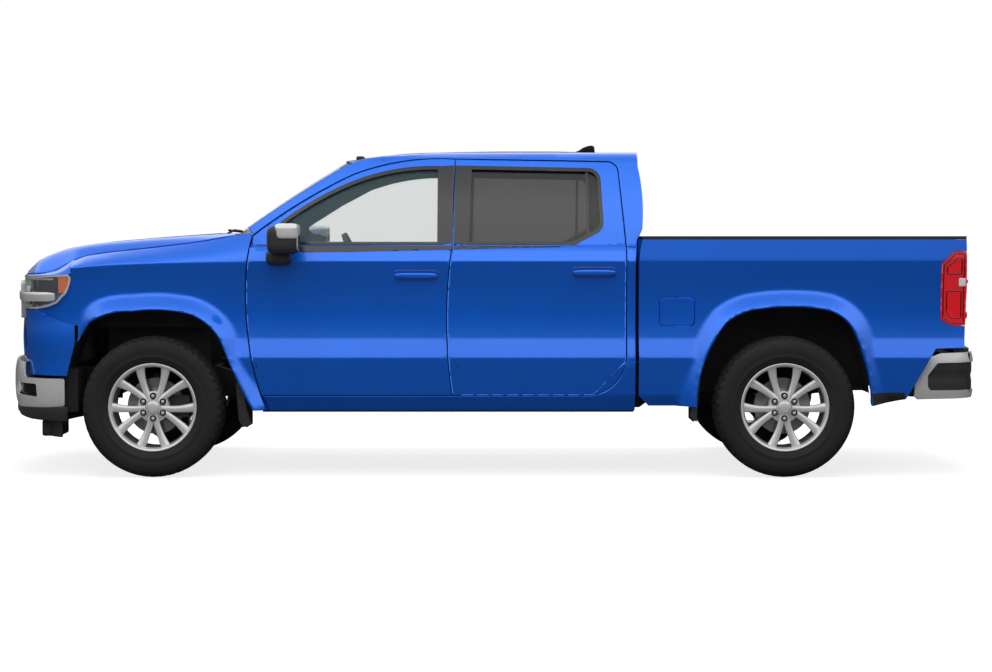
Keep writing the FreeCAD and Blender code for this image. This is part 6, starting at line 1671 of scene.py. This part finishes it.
# The dome that the paint mirrors: dark at the horizon and below, bright overhead
dome = wn.new("ShaderNodeTexCoord")
parts = wn.new("ShaderNodeSeparateXYZ")
wl.new(dome.outputs["Generated"], parts.inputs["Vector"])
sky = wn.new("ShaderNodeValToRGB")
for at, value in ((0.30, 0.0), (0.48, 0.02), (0.53, 0.08), (0.60, 0.30), (0.70, 0.90), (0.84, 1.0),
                  (0.93, 0.55), (0.99, 0.40)):
    stop = sky.color_ramp.elements.new(at)
    stop.color = (value, value, value, 1)
sky.color_ramp.elements.remove(sky.color_ramp.elements[0])
sky.color_ramp.elements.remove(sky.color_ramp.elements[-1])
height = wn.new("ShaderNodeMapRange")
height.inputs["From Min"].default_value = -1.0
height.inputs["From Max"].default_value = 1.0
wl.new(parts.outputs["Z"], height.inputs["Value"])
wl.new(height.outputs["Result"], sky.inputs["Fac"])
mirror_or_not = wn.new("ShaderNodeMix")
mirror_or_not.data_type = "FLOAT"
wl.new(path.outputs["Is Glossy Ray"], mirror_or_not.inputs["Factor"])
mirror_or_not.inputs[2].default_value = 0.45
brighter = wn.new("ShaderNodeMath")
brighter.operation = "MULTIPLY"
brighter.inputs[1].default_value = 1.5
wl.new(sky.outputs["Color"], brighter.inputs[0])
wl.new(brighter.outputs[0], mirror_or_not.inputs[3])
clear_or_not = wn.new("ShaderNodeMix")
clear_or_not.data_type = "FLOAT"
wl.new(seen.outputs[0], clear_or_not.inputs["Factor"])
wl.new(mirror_or_not.outputs[0], clear_or_not.inputs[2])
clear_or_not.inputs[3].default_value = 1.0
wl.new(clear_or_not.outputs[0], back.inputs["Strength"])

floor_mat = bpy.data.materials.new("floor_white")
floor_mat.use_nodes = True
fn, fl = floor_mat.node_tree.nodes, floor_mat.node_tree.links
floor_shader = fn["Principled BSDF"]
floor_shader.inputs["Roughness"].default_value = 0.9
floor_shader.inputs["Specular IOR Level"].default_value = 0.0
floor_tex = fn.new("ShaderNodeTexNoise")
floor_tex.inputs["Scale"].default_value = 0.5
floor_ramp = fn.new("ShaderNodeValToRGB")
floor_ramp.color_ramp.elements[0].color = (0.42, 0.42, 0.42, 1)
floor_ramp.color_ramp.elements[1].color = (0.44, 0.44, 0.44, 1)
fl.new(floor_tex.outputs["Fac"], floor_ramp.inputs["Fac"])
floor_path = fn.new("ShaderNodeLightPath")
floor_mix = fn.new("ShaderNodeMix")
floor_mix.data_type = "RGBA"
floor_mix.inputs[7].default_value = (0.08, 0.08, 0.08, 1)
fl.new(floor_path.outputs["Is Glossy Ray"], floor_mix.inputs[0])
fl.new(floor_ramp.outputs["Color"], floor_mix.inputs[6])
fl.new(floor_mix.outputs[2], floor_shader.inputs["Base Color"])
floor_glow = fn.new("ShaderNodeMapRange")
floor_glow.inputs["To Min"].default_value = 0.0
floor_glow.inputs["To Max"].default_value = 0.80
fl.new(floor_path.outputs["Is Camera Ray"], floor_glow.inputs["Value"])
fl.new(floor_glow.outputs["Result"], floor_shader.inputs["Emission Strength"])
floor_shader.inputs["Emission Color"].default_value = (1, 1, 1, 1)
floor_mesh = bpy.data.meshes.new("floor")
floor_mesh.from_pydata([(-60, -60, -0.001), (60, -60, -0.001), (60, 60, -0.001), (-60, 60, -0.001)], [],
                       [(0, 1, 2, 3)])
floor_mesh.materials.append(floor_mat)
floor = bpy.data.objects.new("floor", floor_mesh)
bpy.context.scene.collection.objects.link(floor)

camera = bpy.data.cameras.new("camera")
camera.lens = 79.5
camera.sensor_width = 36.0
camera.clip_end = 200
camera_object = bpy.data.objects.new("camera", camera)
camera_object.location = (13.917, 0.060, 1.423)
camera_object.rotation_euler = (math.radians(90 - 2.57), 0.0, math.radians(90))
bpy.context.scene.collection.objects.link(camera_object)
bpy.context.scene.camera = camera_object
bpy.context.scene.view_settings.view_transform = "Standard"
